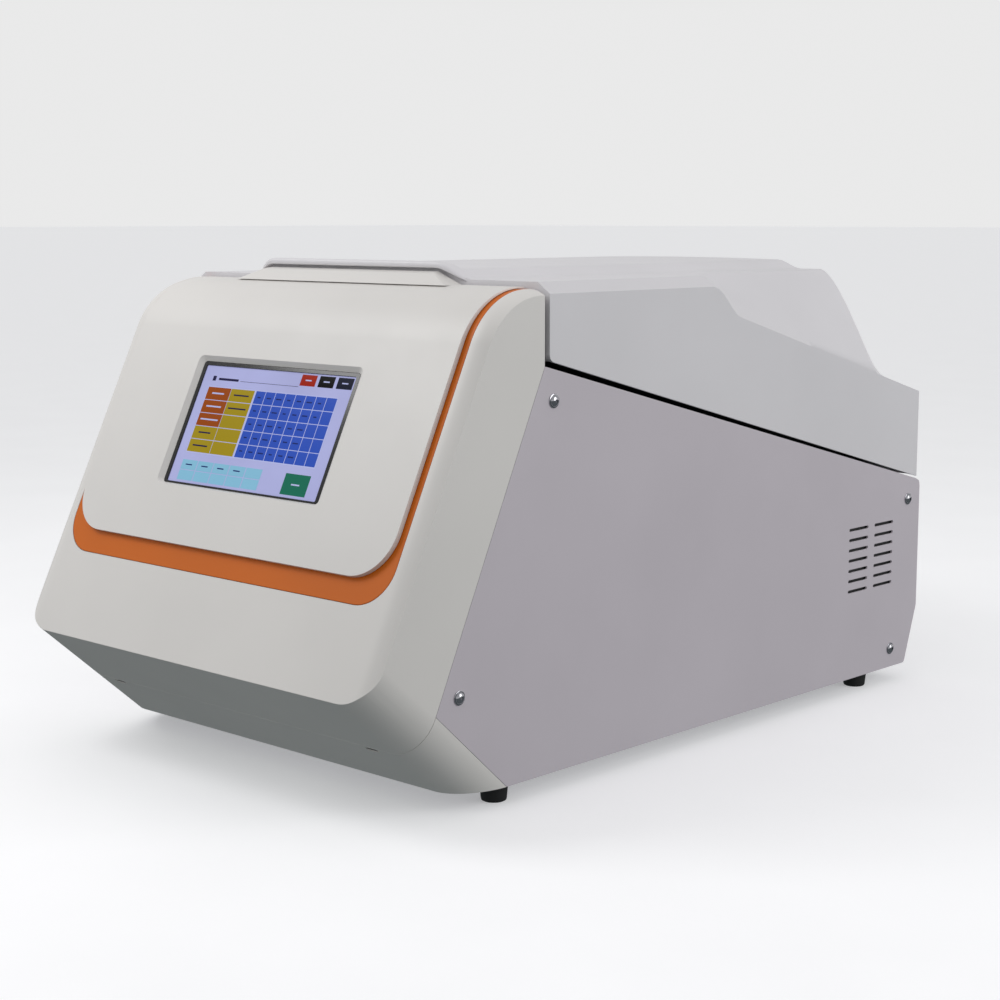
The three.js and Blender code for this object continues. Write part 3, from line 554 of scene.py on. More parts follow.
def grown_window(extra):
    """The outline of the opening at the rim, `extra` wider all round."""
    half_x, low, high, radius = WINDOW_LOW
    return round_window(half_x + extra, low - extra, high + extra, radius + extra, steps=6)


def build_bezel(shell):
    """The sloping front, with a groove for the trim and the opening for the screen."""
    region = [(SEAM_FRONT[0] - SEAM, FAR), (-FAR, FAR), (-FAR, -FAR)]
    region += [(y - SEAM, z) for y, z in (seam_point(FAR), SEAM_FRONT)]
    front = side_prism(region, -FAR, FAR)
    groove = face_layer(-TRIM_DEPTH - 0.3, 1, TRIM["half_x"] + TRIM_GAP, TRIM["bottom"] - TRIM_GAP,
                        TRIM["radius"])
    half_x, bottom, radius = TRIM_INNER
    island = face_prism(round_window(half_x - 0.3, bottom + 0.3, 2 * FAR, radius, 0), -FAR, FAR)
    bezel = cut(keep(shell, front), cut(groove, island), face_prism(grown_window(0.6), -30, 30))
    piece("front_bezel_cover", bezel, "base", "cover_plastic", ("front_bezel",), 0.5, 3)


def build_accent():
    """The U-shaped orange trim."""
    half_x, bottom, radius = TRIM_INNER
    hole = face_prism(round_window(half_x, bottom, 2 * FAR, radius, 0), -FAR, FAR)
    band = cut(face_layer(-TRIM_DEPTH, 0, **TRIM), hole)
    piece("accent_band", band, "base", "accent_orange", ("accent_trim",), 0.25)


def plate_ramp():
    """The ramp that rises from the plate's top to meet the lid's hood."""
    foot = TOP_HEIGHT + 1
    rear = SEAM_FRONT[0]
    height = RAMP["height"]
    wedge = side_prism([
        (RAMP["foot_y"], foot), (rear, foot), (rear, height), (rear - 5, height - 0.3),
        (rear - 8, height - 1.3), (RAMP["foot_y"], TOP_HEIGHT + PLATE_TOP_RISE),
    ], -RAMP["foot_x"], RAMP["foot_x"])
    slopes = prism([
        (-RAMP["foot_x"], foot), (RAMP["foot_x"], foot), (RAMP["top_x"], height + 0.1),
        (-RAMP["top_x"], height + 0.1),
    ], X_AXIS, Z_AXIS, -FAR, 2 * FAR)
    return keep(wedge, slopes)


def build_plate():
    """The raised plate round the screen."""
    layer = face_layer(SEAM, PLATE_RISE, **PLATE, top_rise=PLATE_TOP_RISE)
    plate = cut(unite(layer, plate_ramp()), screen_funnel())
    piece("front_plate_cover", plate, "base", "cover_plastic", ("front_plate",), 1.1, 4, 28)


def build_chin(shell):
    """The lower front, under the seam that runs down from the side panels."""
    strip = [(y - SEAM, z) for y, z in (CHIN_TOP, seam_point(60), (-120, 0), (0, 0))]
    ahead = side_prism([(-3 * FAR, -FAR), seam_point(FAR), seam_point(-FAR), (-3 * FAR, FAR)], -FAR, FAR)
    chin = cut(keep(shell, side_prism(strip, -FAR, FAR)), ahead, *chin_notches())
    piece("front_chin_cover", chin, "base", "cover_plastic", ("front_chin",), 1.1, 3)


NOTCH = {"x": 134, "along": 65.4, "half_x": 6, "half_high": 1.9, "radius": 1.6}
# Painted shade: the dark plugs sunk in the chin's pry slots stand in for the shadowed inside of each slot.
NOTCH_SHADE_PLUG = {"gap": 0.35, "sunk": 0.7, "deep": 2.6}


def chin_slot(x, gap, start, length):
    """A slot-shaped block, `gap` smaller all round, from `start` under the chin's face inward."""
    along = Vector((0, math.cos(CHIN_ANGLE), -math.sin(CHIN_ANGLE)))
    middle = Vector((x, *CHIN_CREST)) + along * NOTCH["along"]
    high = NOTCH["half_high"] - gap
    outline = round_window(NOTCH["half_x"] - gap, -high, high, NOTCH["radius"] - gap)
    return prism(outline, X_AXIS, along, start, length, middle)


def chin_notches():
    """The two small pry slots just below the seam."""
    return [chin_slot(side * NOTCH["x"], 0, -2.2, 9) for side in (-1, 1)]


def build_notch_shade_plugs():
    """Dark plugs sunk in the chin's pry slots, painted shade for the shadowed inside of each slot."""
    for name, side in (("left", -1), ("right", 1)):
        shade_plug = chin_slot(side * NOTCH["x"], NOTCH_SHADE_PLUG["gap"], NOTCH_SHADE_PLUG["sunk"], NOTCH_SHADE_PLUG["deep"])
        piece("notch_shade_plug_" + name, shade_plug, "base", "black_plastic", (), 0)


def build_front():
    shell = cut(housing(0, 5.5, 1), housing(WALL, 3, 0.5))
    build_bezel(shell)
    build_accent()
    build_plate()
    build_chin(shell)
    # dark plugs in the pry slots: painted shade
    build_notch_shade_plugs()


# ---------------------------------------------------------------- screen
SCREEN = {"width": 154.08, "height": 85.92, "middle": 24.4, "out": 0.3}
SCREEN_COLOURS = {
    "white": (0.68, 0.7, 0.86), "rust": (0.56, 0.27, 0.09), "olive": (0.6, 0.52, 0.12),
    "blue": (0.19, 0.31, 0.68), "cyan": (0.5, 0.7, 0.8), "red": (0.58, 0.13, 0.06),
    "black": (0.01, 0.01, 0.02), "navy": (0.07, 0.09, 0.16), "green": (0.12, 0.4, 0.32),
    "ink": (0.14, 0.13, 0.26), "shade": (0.12, 0.17, 0.4),
}
MARK_COLOURS = ("ink", "shade", "white")
TALLEST_TILE = 40  # anything taller is a ground for other tiles
CHART = {"top": 15.2, "rows": 5, "pitch": 9.8, "high": 9.3}
KEYS = {"left": 8.4, "top": 69.9, "pitch": (17.3, 7.7), "size": (16.5, 7.2)}

# Every tile is (colour, left, top, width, height), from the screen's top left corner.


def header_tiles():
    """The title line and three buttons at the right."""
    tiles = [("ink", 9.8, 6.8, 3.4, 3.6), ("ink", 16.4, 8, 21.5, 1.7), ("ink", 40, 9.2, 61, 0.25)]
    for x, colour in ((101.6, "red"), (119.7, "black"), (137.9, "navy")):
        tiles += [(colour, x, 0.4, 15.2, 8), ("white", x + 4.6, 3.9, 6, 0.9)]
    return tiles


def label_tiles(row, top):
    """The two wide labels at the start of a chart row."""
    tiles = []
    for column, left in enumerate((8.6, 33.9)):
        warm = column == 0 and row < 3
        tiles.append(("rust" if warm else "olive", left, top, 24.9, CHART["high"]))
        if column == 0 or row < 2:
            bar = 13 + 3 * ((row + column) % 3)
            tiles.append(("white" if warm else "ink", left + 12.3 - bar / 2, top + 3.9, bar, 1.1))
    return tiles


def cell_tiles(row, top):
    """The eight small cells of a chart row; the last ones are empty."""
    tiles = []
    for column in range(8):
        left = 60.7 + column * 10.35
        tiles.append(("blue", left, top, 9.8, CHART["high"]))
        if column < (7 if row < 2 else 6):
            bar = 3.2 + 1.2 * ((row * 3 + column) % 3)
            tiles.append(("shade", left + 4.6 - bar / 2, top + 4, bar, 1))
    return tiles


def key_tiles():
    """Two rows of keys along the bottom, and the large key at the right."""
    tiles = []
    for row in range(2):
        for column in range(5):
            left = KEYS["left"] + column * KEYS["pitch"][0]
            tiles.append(("cyan", left, KEYS["top"] + row * KEYS["pitch"][1], *KEYS["size"]))
            if row == 0 and column < 4:
                tiles.append(("shade", left + 4.4, KEYS["top"] + 3, 7, 0.9))
    return tiles + [("green", 118.2, KEYS["top"], 24.8, 14.8), ("white", 126.5, 76.8, 8.2, 1)]


def screen_tiles():
    tiles = header_tiles() + [("white", 8, 14.6, 135.7, 49.9)]
    for row in range(CHART["rows"]):
        top = CHART["top"] + row * CHART["pitch"]
        tiles += label_tiles(row, top) + cell_tiles(row, top)
    return tiles + key_tiles()


def tile_height(colour, height):
    """How far a tile stands out from the slope: grounds lowest, then tiles, then the marks on them."""
    layer = 0
    if height < TALLEST_TILE:
        layer = 2 if colour in MARK_COLOURS else 1
    return SCREEN["out"] + 0.03 + 0.02 * layer


def lit_window(extra):
    """The outline of the lit area, `extra` wider all round."""
    half_x = SCREEN["width"] / 2 + extra
    half_s = SCREEN["height"] / 2 + extra
    return round_window(half_x, SCREEN["middle"] - half_s, SCREEN["middle"] + half_s, 1, steps=4)


def screen_picture():
    """The lit ground and its tiles in one mesh, each tile with its own colour's material slot."""
    names = list(SCREEN_COLOURS)
    left = -SCREEN["width"] / 2
    top = SCREEN["middle"] + SCREEN["height"] / 2
    bm = bm_of(face_prism(lit_window(0.7), -6.8, SCREEN["out"]))
    for colour, x, y, width, height in screen_tiles():
        x0, y0 = left + x, top - y
        corners = [(x0, y0 - height), (x0 + width, y0 - height), (x0 + width, y0), (x0, y0)]
        first = len(bm.faces)
        bm.from_mesh(face_prism(corners, SCREEN["out"] - 0.2, tile_height(colour, height)))
        bm.faces.ensure_lookup_table()
        for face in bm.faces[first:]:
            face.material_index = 1 + names.index(colour)
    return mesh_from(bm)


def build_screen():
    looks = [FINISH["display_glass"]]
    for name, colour in SCREEN_COLOURS.items():
        looks.append(finish(f"screen_{name}", colour, 0.25, mottle=0.02, bump=0.01, glow=0.3, specular=0.03))
    piece("touch_screen", screen_picture(), "base", "display_glass", ("touch_display",), 0, looks=looks)

    rim = cut(face_prism(grown_window(-0.2), -11, FRAME_OUT), face_prism(lit_window(0.8), -20, 5))
    piece("display_rim", rim, "base", "display_black", ("display_frame",), 0.3)


# ---------------------------------------------------------------- case
def seam_height(y):
    return SEAM_FRONT[1] + SEAM_SLOPE * (y - SEAM_FRONT[0])


def stadium(y0, y1, z0, z1, steps=6):
    """The outline of a slot with round ends."""
    radius = (z1 - z0) / 2
    z = (z0 + z1) / 2
    points = []
    for y, first in ((y1 - radius, -0.5), (y0 + radius, 0.5)):
        for i in range(steps + 1):
            angle = math.pi * (first + i / steps)
            points.append((y + radius * math.cos(angle), z + radius * math.sin(angle)))
    return points


def rounded(points, radii, steps=5):
    """A polygon with the given corner radii, 0 where a corner stays sharp."""
    out = []
    for i, point in enumerate(points):
        radius = radii[i]
        here = Vector(point)
        if not radius:
            out.append(tuple(here))
            continue
        before = (Vector(points[i - 1]) - here).normalized()
        after = (Vector(points[(i + 1) % len(points)]) - here).normalized()
        half = before.angle(after) / 2
        reach = radius / math.tan(half)
        centre = here + (before + after).normalized() * (radius / math.sin(half))
        start = here + before * reach - centre
        turn = start.angle_signed(here + after * reach - centre)
        for k in range(steps + 1):
            out.append(tuple(centre + Matrix.Rotation(-turn * k / steps, 2) @ start))
    return out


VENT = {"columns": (398.9, 435.6), "long": 27.7, "rows": 7, "first": 70.4, "pitch": 8.3, "high": 2.5}
# Painted shade: a dark sheet just inside the vent slots stands in for the shadowed inside of the case.
VENT_SHADE_SHEET = (178.2, 178.9, 392, 470, 62, 132)  # x, y and z, each from and to


def side_outline():
    rear_top = (REAR_FACE, SEAM_REAR[1])
    corners = {
        (0, 0): 0.8, (SIDE_FOOT_Y, 0): 3, (REAR_FACE, SIDE_KNEE_Z): 8, rear_top: 8, SIDE_REAR_TOP: 0,
        SEAM_FRONT: 0.8, CHIN_TOP: 0.8,
    }
    return rounded(list(corners), list(corners.values()))


def build_sides():
    under_seam = side_prism([
        SEAM_FRONT, SEAM_REAR, (2 * FAR, SEAM_REAR[1] - 400), (2 * FAR, -FAR), (-2 * FAR, -FAR),
        (-2 * FAR, FAR),
    ], -FAR, FAR)
    slots = []
    for row in range(VENT["rows"]):
        z = VENT["first"] + row * VENT["pitch"]
        for y in VENT["columns"]:
            slots.append(side_prism(stadium(y, y + VENT["long"], z, z + VENT["high"]), 170, 190))
    sheet = side_prism(side_outline(), HALF_WIDTH - SHEET, HALF_WIDTH)
    sheet = cut(keep(sheet, under_seam), gather(slots))
    # the dark sheet behind the vent slots is painted shade
    shade_sheet = box(*VENT_SHADE_SHEET)
    piece("side_panel_right_sheet", sheet, "base", "panel_steel", ("side_panel_right",), 0.35, 3)
    piece("side_panel_left_sheet", mirrored(sheet), "base", "panel_steel", ("side_panel_left",), 0.35, 3)
    piece("vent_shade_sheet_right", shade_sheet, "base", "black_plastic", (), 0)
    piece("vent_shade_sheet_left", mirrored(shade_sheet), "base", "black_plastic", (), 0)


# ---------------------------------------------------------------- lid
SHOULDER = 326
SIDE_CREST = 318.5
CHAMFER = 10.7
LID_CORNER = 4
PLATEAU = {"flat_x": 89, "foot_x": 112, "rise": 7, "crown": 0.8, "top_y": 444, "rear_y": 460}
HAUNCH = {
    "start": 214, "side": 248, "full": 262, "centre": 426, "rear": 450, "spread": 50, "curve": 1.4,
    "y": 261.6, "z": 292, "fall": 0.28,
}


def haunch(y):
    """The height of the low roof behind and beside the plateau."""
    return HAUNCH["z"] - HAUNCH["fall"] * (y - HAUNCH["y"])


def plateau(x, y):
    """How far the raised middle stands above the roof, with a slight crown."""
    flat_x = PLATEAU["flat_x"]
    across = 1 - smoothstep(abs(x), flat_x, PLATEAU["foot_x"])
    along = 1 - smoothstep(y, PLATEAU["top_y"], PLATEAU["rear_y"])
    crown = 1 - (min(abs(x), flat_x) / flat_x) ** 2
    return (PLATEAU["rise"] + crown * PLATEAU["crown"]) * across * along


def lid_roof(x, y):
    """The height of the lid's outside."""
    start = HAUNCH["start"]
    side = mix(SIDE_CREST, haunch(y), smoothstep(y, start, HAUNCH["side"]))
    centre = mix(SHOULDER, haunch(y), smoothstep(y, HAUNCH["centre"], HAUNCH["rear"]))
    spread = mix(CHAMFER, HAUNCH["spread"], smoothstep(y, start, HAUNCH["full"]))
    blend = min((HALF_WIDTH - abs(x)) / spread, 1)
    curved = 1 - (1 - blend) ** HAUNCH["curve"]
    eased = mix(blend, curved, smoothstep(y, 205, 250))
    return mix(side, centre, eased) + plateau(x, y)


def lid_edge(y):
    along = (y - LID_FRONT) / (LID_REAR - LID_FRONT)
    return seam_height(y) + mix(4.4, 2, along)


def lid_underside(y):
    """The lid's lower edge, with its front corner rounded."""
    short = max(0, LID_CORNER - (y - LID_FRONT))
    return lid_edge(y) + LID_CORNER - math.sqrt(LID_CORNER ** 2 - short ** 2)


def stations(marks):
    """Numbers from mark to mark: each mark is (end, step), after the first start."""
    values = [marks[0]]
    for end, step in marks[1:]:
        start = values[-1]
        count = max(1, round(abs(end - start) / step))
        values += [mix(start, end, (i + 1) / count) for i in range(count)]
    return values


def lid_solid(inset, floor_at, fine):
    """A closed block under the lid's roof, drawn in by `inset`, with its underside at floor_at(y)."""
    grow = 1 if fine else 2.2
    from_side = stations([
        0, (CHAMFER, 3.6 * grow), (28, 3.5 * grow), (66, 3.8 * grow), (HALF_WIDTH, 4.4 * grow),
    ])
    right = [HALF_WIDTH - distance for distance in from_side]
    columns = right + [-x for x in reversed(right[:-1])]
    rows = stations([
        LID_FRONT, (LID_FRONT + LID_CORNER, 0.7 * grow), (HAUNCH["start"], 6 * grow),
        (HAUNCH["full"], 2.4 * grow), (418, 5 * grow), (466, 1.9 * grow), (LID_REAR, 5 * grow),
    ])
    fit = (HALF_WIDTH - inset) / HALF_WIDTH
    rings = []
    for row in rows:
        y = min(max(row, LID_FRONT + inset), LID_REAR - inset)
        top = [Vector((x * fit, y, lid_roof(x, row) - inset)) for x in columns]
        bottom = [Vector((x * fit, y, floor_at(row))) for x in reversed(columns)]
        rings.append(top + bottom)
    return loft(rings)


LIP = {
    "half_x": 116, "flat_x": 82, "top": 337.8, "front": 33.6, "side_front": 40.9, "inner": 42.2, "rear": 54,
}


def lip_section(x):
    """The lip's outline at one station across the lid, as (y, z) points."""
    fade = 1 - smoothstep(abs(x), 84, 115)
    height = mix(SHOULDER - 1.2, LIP["top"], fade)
    front = mix(LIP["side_front"], LIP["front"], 1 - smoothstep(abs(x), 88, PLATEAU["foot_x"]))
    bend = front + 6
    thick = mix(2.4, 4.4, fade)
    under = height - thick
    inner, rear = LIP["inner"], LIP["rear"]
    back = lid_roof(x, rear) - 0.5
    return [
        (front + 0.9, under), (front + 0.25, under + 0.5), (front, height - thick * 0.62),
        (front + 0.15, height - 1.3), (front + 0.8, height - 0.45), (front + 2, height), (bend, height),
        (mix(bend, rear, 0.35), mix(height, back, 0.16)), (mix(bend, rear, 0.7), mix(height, back, 0.72)),
        (rear, back), (rear, back - 2.2), (inner, under - 2), (inner, under),
    ]


def hood_lip():
    """The finger lip over the plate's ramp: a rounded band that follows the plateau's outline."""
    across = stations([-LIP["half_x"], (-LIP["flat_x"], 1.7), (LIP["flat_x"], 8), (LIP["half_x"], 1.7)])
    return loft([[Vector((x, y, z)) for y, z in lip_section(x)] for x in across])


HINGE_NOTCH = (-179.7, 179.7, LID_REAR - 10, FAR, 0, 157.2)  # x, y and z, each from and to


def build_lid():
    inner = lid_solid(WALL, lambda y: lid_edge(y) - 20, False)
    shell = cut(lid_solid(0, lid_underside, True), inner)
    shell = cut(unite(shell, hood_lip()), box(*HINGE_NOTCH))
    piece("lid_cover", shell, "lid", "lid_plastic", ("lid_shell",), 1.2, 3, 34)


# ---------------------------------------------------------------- fasteners, feet, springs
SCREWS = {
    "front_upper": (44.5, 249.3), "front_lower": (-44.5, 67.7),
    "rear_upper": (484.8, 138), "rear_lower": (463.8, 15.7),
}


FOOT = {"x": 166, "front": 4, "rear": 436, "height": 12.4}
FOOT_PROFILE = [
    (0, 6.4), (0, 9.2), (0.3, 9.5), (3.6, 9.5), (3.9, 9.3), (4.2, 9.3), (11, 8.7), (12.2, 8.3), (12.7, 7.4),
    (12.7, 3.4), (6.7, 3.4),
]
BUMPER = {"x": 150, "y": 56, "sunk": 4.5}


def button_screw(y, z):
    """A flanged button head with a hex socket, its axis along +X."""
    profile = [(0, 4.2), (0, 4.8), (0.45, 4.8), (0.62, 4.6), (0.66, 3.85)]
    for i in range(8):
        angle = math.radians(10 + 62 * i / 7)
        profile.append((0.62 + 1.98 * math.sin(angle), 3.9 * math.cos(angle)))
    centre = Vector((HALF_WIDTH + 0.1, y, z))
    hexagon = circle(2.1 / math.sqrt(3), 6)
    socket = prism(hexagon, Y_AXIS, Z_AXIS, -1.2, 6.2, centre + X_AXIS * 2.5)
    return cut(turned(profile, 40, centre, X_AXIS), socket)


def rubber_foot(x, y):
    """A tapered pad with a recess for its screw; the profile runs down from the case."""
    drawn = max(down for down, _ in FOOT_PROFILE)
    profile = [(down * FOOT["height"] / drawn, radius) for down, radius in FOOT_PROFILE]
    return turned(profile, 40, Vector((x, y, -0.3)), -Z_AXIS)


def lid_bumper(x, y):
    """A rubber stop from inside the case up to the lid's edge."""
    start = seam_height(y) - BUMPER["sunk"]
    height = lid_edge(y) + 0.4 - start
    profile = [
        (0, 4.6), (0.4, 5), (height * 0.45, 5), (height * 0.5, 4.2), (height - 1.2, 4), (height - 0.3, 3.2),
        (height, 2),
    ]
    return turned(profile, 28, Vector((x, y, start)), Z_AXIS)


SPRING = {"low": 242.3, "high": 268.7, "keep": 0.765}  # keep: its length when the heated plate is up
COIL = {"turns": 6.5, "radius": 4.9, "wire": 0.62, "steps": 22, "sides": 8}  # steps: in one turn


def coil_spring(x, y, low, high):
    """Closed at both ends: the first and last turns lie flat."""
    radius, wire, sides = COIL["radius"], COIL["wire"], COIL["sides"]
    around = [2 * math.pi * k / sides for k in range(sides)]
    steps = int(COIL["turns"] * COIL["steps"])
    rings = []
    for i in range(steps + 1):
        t = i / steps
        angle = 2 * math.pi * COIL["turns"] * t
        rise = mix(low + wire, high - wire, smoothstep(t, 0.06, 0.94) * 0.35 + 0.65 * t)
        radial = Vector((math.cos(angle), math.sin(angle), 0))
        middle = Vector((x, y, rise))
        rings.append([
            middle + radial * (radius + wire * math.cos(a)) + Z_AXIS * (wire * math.sin(a)) for a in around
        ])
    return loft(rings)


def build_screws():
    for where, (y, z) in SCREWS.items():
        screw = button_screw(y, z)
        for hand, mesh in (("right", screw), ("left", mirrored(screw))):
            name = f"screw_{where}_{hand}"
            piece(f"{name}_head", mesh, "base", "screw_chrome", (name,), 0.12, 2, 40)


def build_rubber():
    """The four feet and the two stops under the lid."""
    for hand, side in (("left", -1), ("right", 1)):
        for end in ("front", "rear"):
            name = f"foot_{end}_{hand}"
            foot = rubber_foot(side * FOOT["x"], FOOT[end])
            piece(f"{name}_pad", foot, "base", "rubber_black", (name,), 0.2, 2, 50)
        name = f"lid_bumper_{hand}"
        bumper = lid_bumper(side * BUMPER["x"], BUMPER["y"])
        piece(f"{name}_stop", bumper, "base", "rubber_black", (name,), 0)


def build_springs():
    """A closed coil on each guide post, carried by the lid."""
    low, high = SPRING["low"], SPRING["high"]
    for index, (x, y) in enumerate(POSTS):
        name = f"plate_spring_{index + 1}"
        coil = piece(f"{name}_coil", coil_spring(x, y, low, high), "lid", "spring_steel", (name,), 0)
        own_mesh(coil)


# ---------------------------------------------------------------- sample block, heated lid plate
WELLS = {"columns": 12, "rows": 8, "pitch": 9}
WELL_PROFILE = [(-13, 0.9), (-3.5, 2.75), (0.4, 3.1)]
HEATED = {"half_x": 63, "half_y": 44, "bottom": 234, "top": 242}


def build_block():
    """The sample block with its conical wells."""
    cones = []
    for column in range(WELLS["columns"]):
        x = (column - (WELLS["columns"] - 1) / 2) * WELLS["pitch"]
        for row in range(WELLS["rows"]):
            y = BLOCK["y"] + (row - (WELLS["rows"] - 1) / 2) * WELLS["pitch"]
            cones.append(turned(WELL_PROFILE, 20, Vector((x, y, BLOCK["top"])), Z_AXIS))
    half_x, half_y, y = BLOCK["half_x"], BLOCK["half_y"], BLOCK["y"]
    body = cut(box(-half_x, half_x, y - half_y, y + half_y, BLOCK["bottom"], BLOCK["top"]), gather(cones))
    piece("sample_block_wells", body, "base", "aluminium_plain", ("sample_block",), 0.3)


def build_heated_plate():
    """The lid's heated plate, with a shallow relief below and four guide posts above."""
    half_x, half_y, y = HEATED["half_x"], HEATED["half_y"], BLOCK["y"]
    slab = box(-half_x, half_x, y - half_y, y + half_y, HEATED["bottom"], HEATED["top"])
    relief = box(-55, 55, y - 37, y + 37, HEATED["bottom"] - 1, HEATED["bottom"] + 0.6)
    posts = []
    for post_x, post_y in POSTS:
        foot = Vector((post_x, post_y, HEATED["top"] - 0.5))
        posts.append(turned([(0, 3), (37, 3), (38, 2.2)], 24, foot, Z_AXIS))
    plate = unite(cut(soften(slab, 2.5, 3, 80), relief), gather(posts))
    piece("heated_plate_fine", plate, "heater", "heated_aluminium", ("heated_plate",), 0.3)


# ---------------------------------------------------------------- fans
BLADES = 7
BLADE_SECTION = ((-1, 0.25), (-0.4, 0.8), (0.2, 0.9), (1, 0.25), (0.2, -0.35), (-0.4, -0.3))


def fan_blade(angle):
    """One swept, twisted blade about the Y axis."""
    rings = []
    for i in range(9):
        t = i / 8
        radius = mix(FAN["hub"] - 0.8, FAN["bore"] - 1.9, t)
        sweep = angle + 0.42 * t * t
        pitch = mix(0.95, 0.55, t)
        chord = mix(10.5, 15.5, t)
        ring = []
        for u, thick in BLADE_SECTION:
            along = u * chord / 2
            turn = sweep + (along * math.cos(pitch) - thick * math.sin(pitch) * 0.5) / radius
            depth = FAN["y"] + 10.5 + along * math.sin(pitch) * 1.05 + thick * math.cos(pitch)
            ring.append(Vector((radius * math.cos(turn), depth, radius * math.sin(turn))))
        rings.append(ring)
    return loft(rings)


def build_fans():
    blades = [fan_blade(2 * math.pi * i / BLADES) for i in range(BLADES)]
    hub = turned([(1, 14.6), (1.3, 15.4), (2.2, 16), (20, 16)], 40, Vector((0, FAN["y"], 0)), Y_AXIS)
    rotor = unite(hub, gather(blades))
    for hand, side in (("left", -1), ("right", 1)):
        placed = shifted(rotor, side * FAN["x"], 0, FAN["z"])
        name = f"fan_rotor_{hand}"
        piece(f"{name}_blades", placed, f"rotor_{hand}", "black_plastic", (name,), 0.25)


# ---------------------------------------------------------------- rear
ROCKER = {"half_x": 9.7, "half_z": 8.6, "crest": 4, "dish": 2, "back": 5, "over_inlet": 14, "tilt": -7}
BLADE_SPOTS = ((-7, 2), (7, 2), (0, -2))
USB = {"x": -60, "half_x": 5.5, "z": 90, "spacing": 4}
CONTACTS = {"count": 8, "first": -99.6, "pitch": 1.3, "wide": 0.5, "z": (92.6, 93.1)}
REAR_SCREWS = [
    (-172, 60), (172, 60), (-172, 132), (172, 132), (-60, 132), (INLET["x"] - 20.2, 112),
    (INLET["x"] + 20.2, 56),
]


def rocker_outline():
    """The rocker from its side: a dished front with a flat back."""
    half_z, back = ROCKER["half_z"], ROCKER["back"]
    outline = [(-back, -back)]
    for i in range(9):
        t = -1 + i / 4
        outline.append((ROCKER["crest"] + ROCKER["dish"] * abs(t) ** 1.7, half_z * t))
    return outline + [(-back, back)]


def rocker_marks(x):
    """The line and the ring sunk in the rocker's two ends."""
    line = box(x - 0.5, x + 0.5, 5.3, 8, 4.2, 6.8)
    ring = cut(prism(circle(1.5, 20), X_AXIS, Z_AXIS, -8, 2.7), prism(circle(0.9, 20), X_AXIS, Z_AXIS, -9, 5))
    return gather([shifted(mark, 0, -0.35, 0) for mark in (line, shifted(ring, x, 0, -5.4))])


def build_rocker():
    x = INLET["x"]
    rocker = cut(side_prism(rocker_outline(), x - ROCKER["half_x"], x + ROCKER["half_x"]), rocker_marks(x))
    pivot = Matrix.Translation((0, REAR_FACE - 6, INLET["z"] + ROCKER["over_inlet"]))
    tilt = pivot @ Matrix.Rotation(math.radians(ROCKER["tilt"]), 4, "X")
    piece("power_rocker", moved(rocker, tilt), "switch", "black_plastic", ("power_switch",), 0.3)


def build_sockets():
    """What shows inside the three sockets: blades, tongues and contacts."""
    blades = []
    for dx, dz in BLADE_SPOTS:
        x, z = INLET["x"] + dx, INLET["z"] - 15.8 + dz
        blades.append(box(x - 1, x + 1, REAR_FACE - 17.5, REAR_FACE - 3, z - 3, z + 3))
    piece("inlet_blades", gather(blades), "base", "socket_metal", (), 0.3)

    tongues = []
    for side in (-1, 1):
        x, half_x, z = USB["x"], USB["half_x"], USB["z"] + side * USB["spacing"]
        tongues.append(box(x - half_x, x + half_x, REAR_FACE - 13.5, REAR_FACE - 2, z - 0.6, z + 1))
    piece("usb_tongues", gather(tongues), "base", "black_plastic", (), 0.15)

    contacts = []
    for i in range(CONTACTS["count"]):
        x = CONTACTS["first"] + i * CONTACTS["pitch"]
        contacts.append(box(x, x + CONTACTS["wide"], REAR_FACE - 12, REAR_FACE - 3, *CONTACTS["z"]))
    piece("network_contacts", gather(contacts), "base", "socket_metal", (), 0)


def build_rear_screws():
    """Pan heads that hold the rear panel, the inlet and the sockets."""
    heads = []
    for x, z in REAR_SCREWS:
        centre = Vector((x, REAR_FACE - 0.1, z))
        pan = turned([(0, 2.4), (0.5, 2.4), (1.1, 1.9), (1.4, 1.0)], 24, centre, Y_AXIS)
        upright = box(x - 0.3, x + 0.3, REAR_FACE + 0.7, REAR_FACE + 3, z - 1.6, z + 1.6)
        level = box(x - 1.6, x + 1.6, REAR_FACE + 0.7, REAR_FACE + 3, z - 0.3, z + 0.3)
        heads.append(cut(pan, upright, level))
    piece("rear_panel_screws", gather(heads), "base", "screw_chrome", (), 0)


# ---------------------------------------------------------------- CAD nodes kept, with rounded edges
REFINED = {
    "panel_steel": ["bottom_pan", "rear_panel", "fan_bulkhead"],
    "plated_steel": [
        "display_bracket", "power_supply", "plate_carrier", "strike_plate", "hinge_leaf_base_left",
        "hinge_leaf_base_right", "hinge_leaf_lid_left", "hinge_leaf_lid_right", "hinge_pin_left",
        "hinge_pin_right",
    ],
    "circuit_board": ["control_board"],
    "deck_plastic": ["inner_deck", "lid_liner"],
    "block_black": ["block_frame"],
    "aluminium_plain": ["heatsink"],
    "ceramic_white": [f"peltier_module_{i}" for i in range(1, 5)],
    "black_plastic": ["power_inlet", "fan_frame_left", "fan_frame_right", "lid_magnet"],
    "socket_metal": ["usb_socket", "network_socket"],
}


def build_refined():
    for slot, nodes in REFINED.items():
        for node in nodes:
            refine(node, slot, 0.3)


# ---------------------------------------------------------------- studio
AIM = Vector((0, 0, 0.18))
SKY_LOW = (0.135, 0.155, 0.16, 1)
SKY_HIGH = (0.55, 0.555, 0.56, 1)
SKY_GLOW = [(0.06, 0.82), (0.4, 0.82)]  # the bright band just over the horizon: (height, level)
SKY_RANGE = (-0.03, 0.3)
FLOOR_REACH = 60


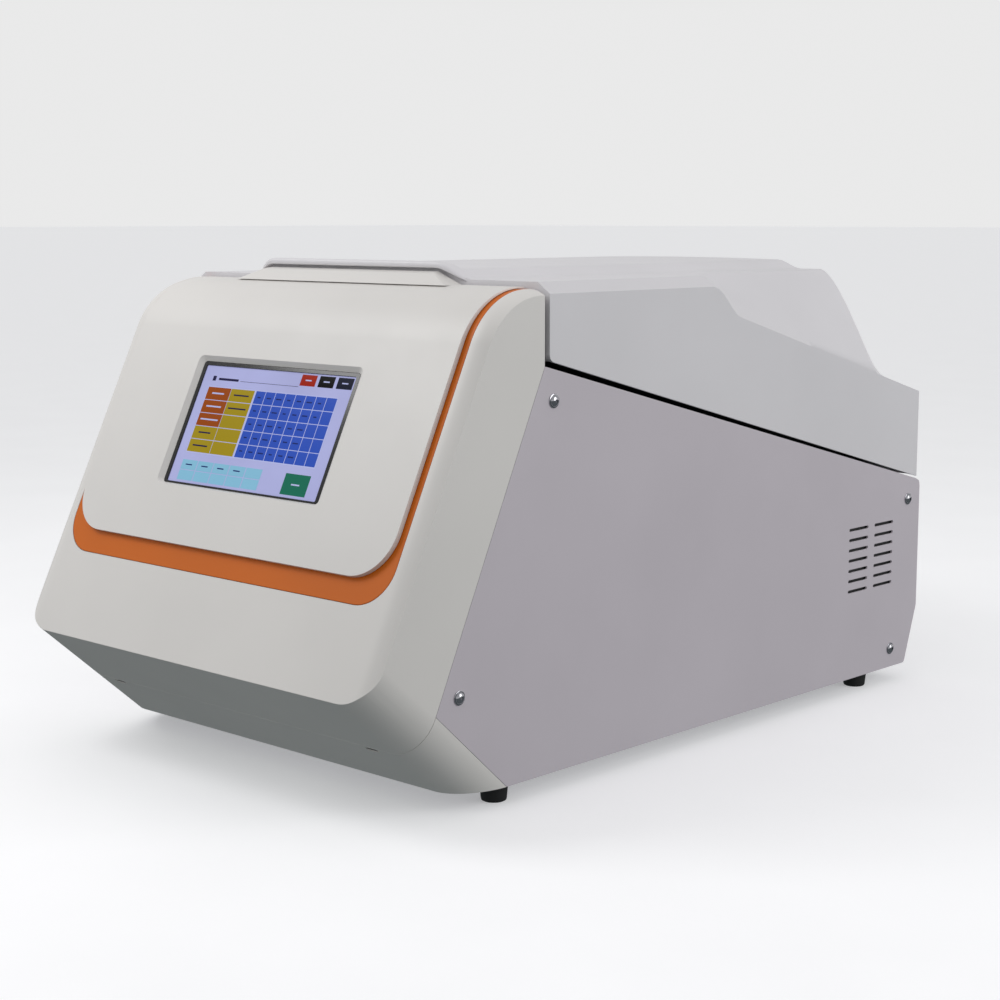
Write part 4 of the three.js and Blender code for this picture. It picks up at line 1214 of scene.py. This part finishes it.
def soft_lamp(name, spot, power, size):
    """A square area light that looks at the middle of the case."""
    data = bpy.data.lights.new(name, "AREA")
    data.energy = power
    data.shape = "SQUARE"
    data.size = size
    obj = bpy.data.objects.new(name, data)
    aim = AIM - Vector(spot)
    obj.matrix_world = Matrix.Translation(spot) @ aim.to_track_quat("-Z", "Y").to_matrix().to_4x4()
    obj.visible_camera = False
    bpy.context.scene.collection.objects.link(obj)


def sky():
    """A plain sky: dark below the horizon, brightest just above it."""
    world = bpy.data.worlds.new("studio")
    world.use_nodes = True
    tree = world.node_tree
    place = tree.nodes.new("ShaderNodeTexCoord")
    split = tree.nodes.new("ShaderNodeSeparateXYZ")
    horizon = tree.nodes.new("ShaderNodeMapRange")
    ramp = tree.nodes.new("ShaderNodeValToRGB")
    ramp.color_ramp.elements[0].color = SKY_LOW
    ramp.color_ramp.elements[1].color = SKY_HIGH
    for height, level in SKY_GLOW:
        ramp.color_ramp.elements.new(height).color = (level, level, level, 1)
    horizon.inputs["From Min"].default_value = SKY_RANGE[0]
    horizon.inputs["From Max"].default_value = SKY_RANGE[1]
    tree.links.new(place.outputs["Generated"], split.inputs["Vector"])
    tree.links.new(split.outputs["Z"], horizon.inputs["Value"])
    tree.links.new(horizon.outputs["Result"], ramp.inputs["Fac"])
    tree.links.new(ramp.outputs["Color"], tree.nodes["Background"].inputs["Color"])
    bpy.context.scene.world = world


def paper_floor():
    """A wide pale floor that doesn't light the case or show in it."""
    reach = FLOOR_REACH
    corners = [(-reach, -reach, 0), (reach, -reach, 0), (reach, reach, 0), (-reach, reach, 0)]
    floor = bpy.data.objects.new("floor", mesh_of(corners, [(0, 1, 2, 3)]))
    bpy.context.scene.collection.objects.link(floor)
    paper = finish("floor_paper", (0.9, 0.9, 0.905), 0.9, mottle=0.004, bump=0.01, glow=0.4, specular=0.1)
    floor.data.materials.append(paper)
    floor.visible_diffuse = False
    floor.visible_glossy = False


def studio():
    sky()
    paper_floor()
    soft_lamp("key", (-0.6, -0.75, 1.05), 5.2, 0.6)
    soft_lamp("strip", (1.6, 0.65, 0.75), 8.5, 1.0)
    bpy.context.scene.view_settings.view_transform = "Standard"


build_front()
build_screen()
build_sides()
build_lid()
build_screws()
build_rubber()
build_springs()
build_block()
build_heated_plate()
build_fans()
build_rocker()
build_sockets()
build_rear_screws()
build_refined()
studio()
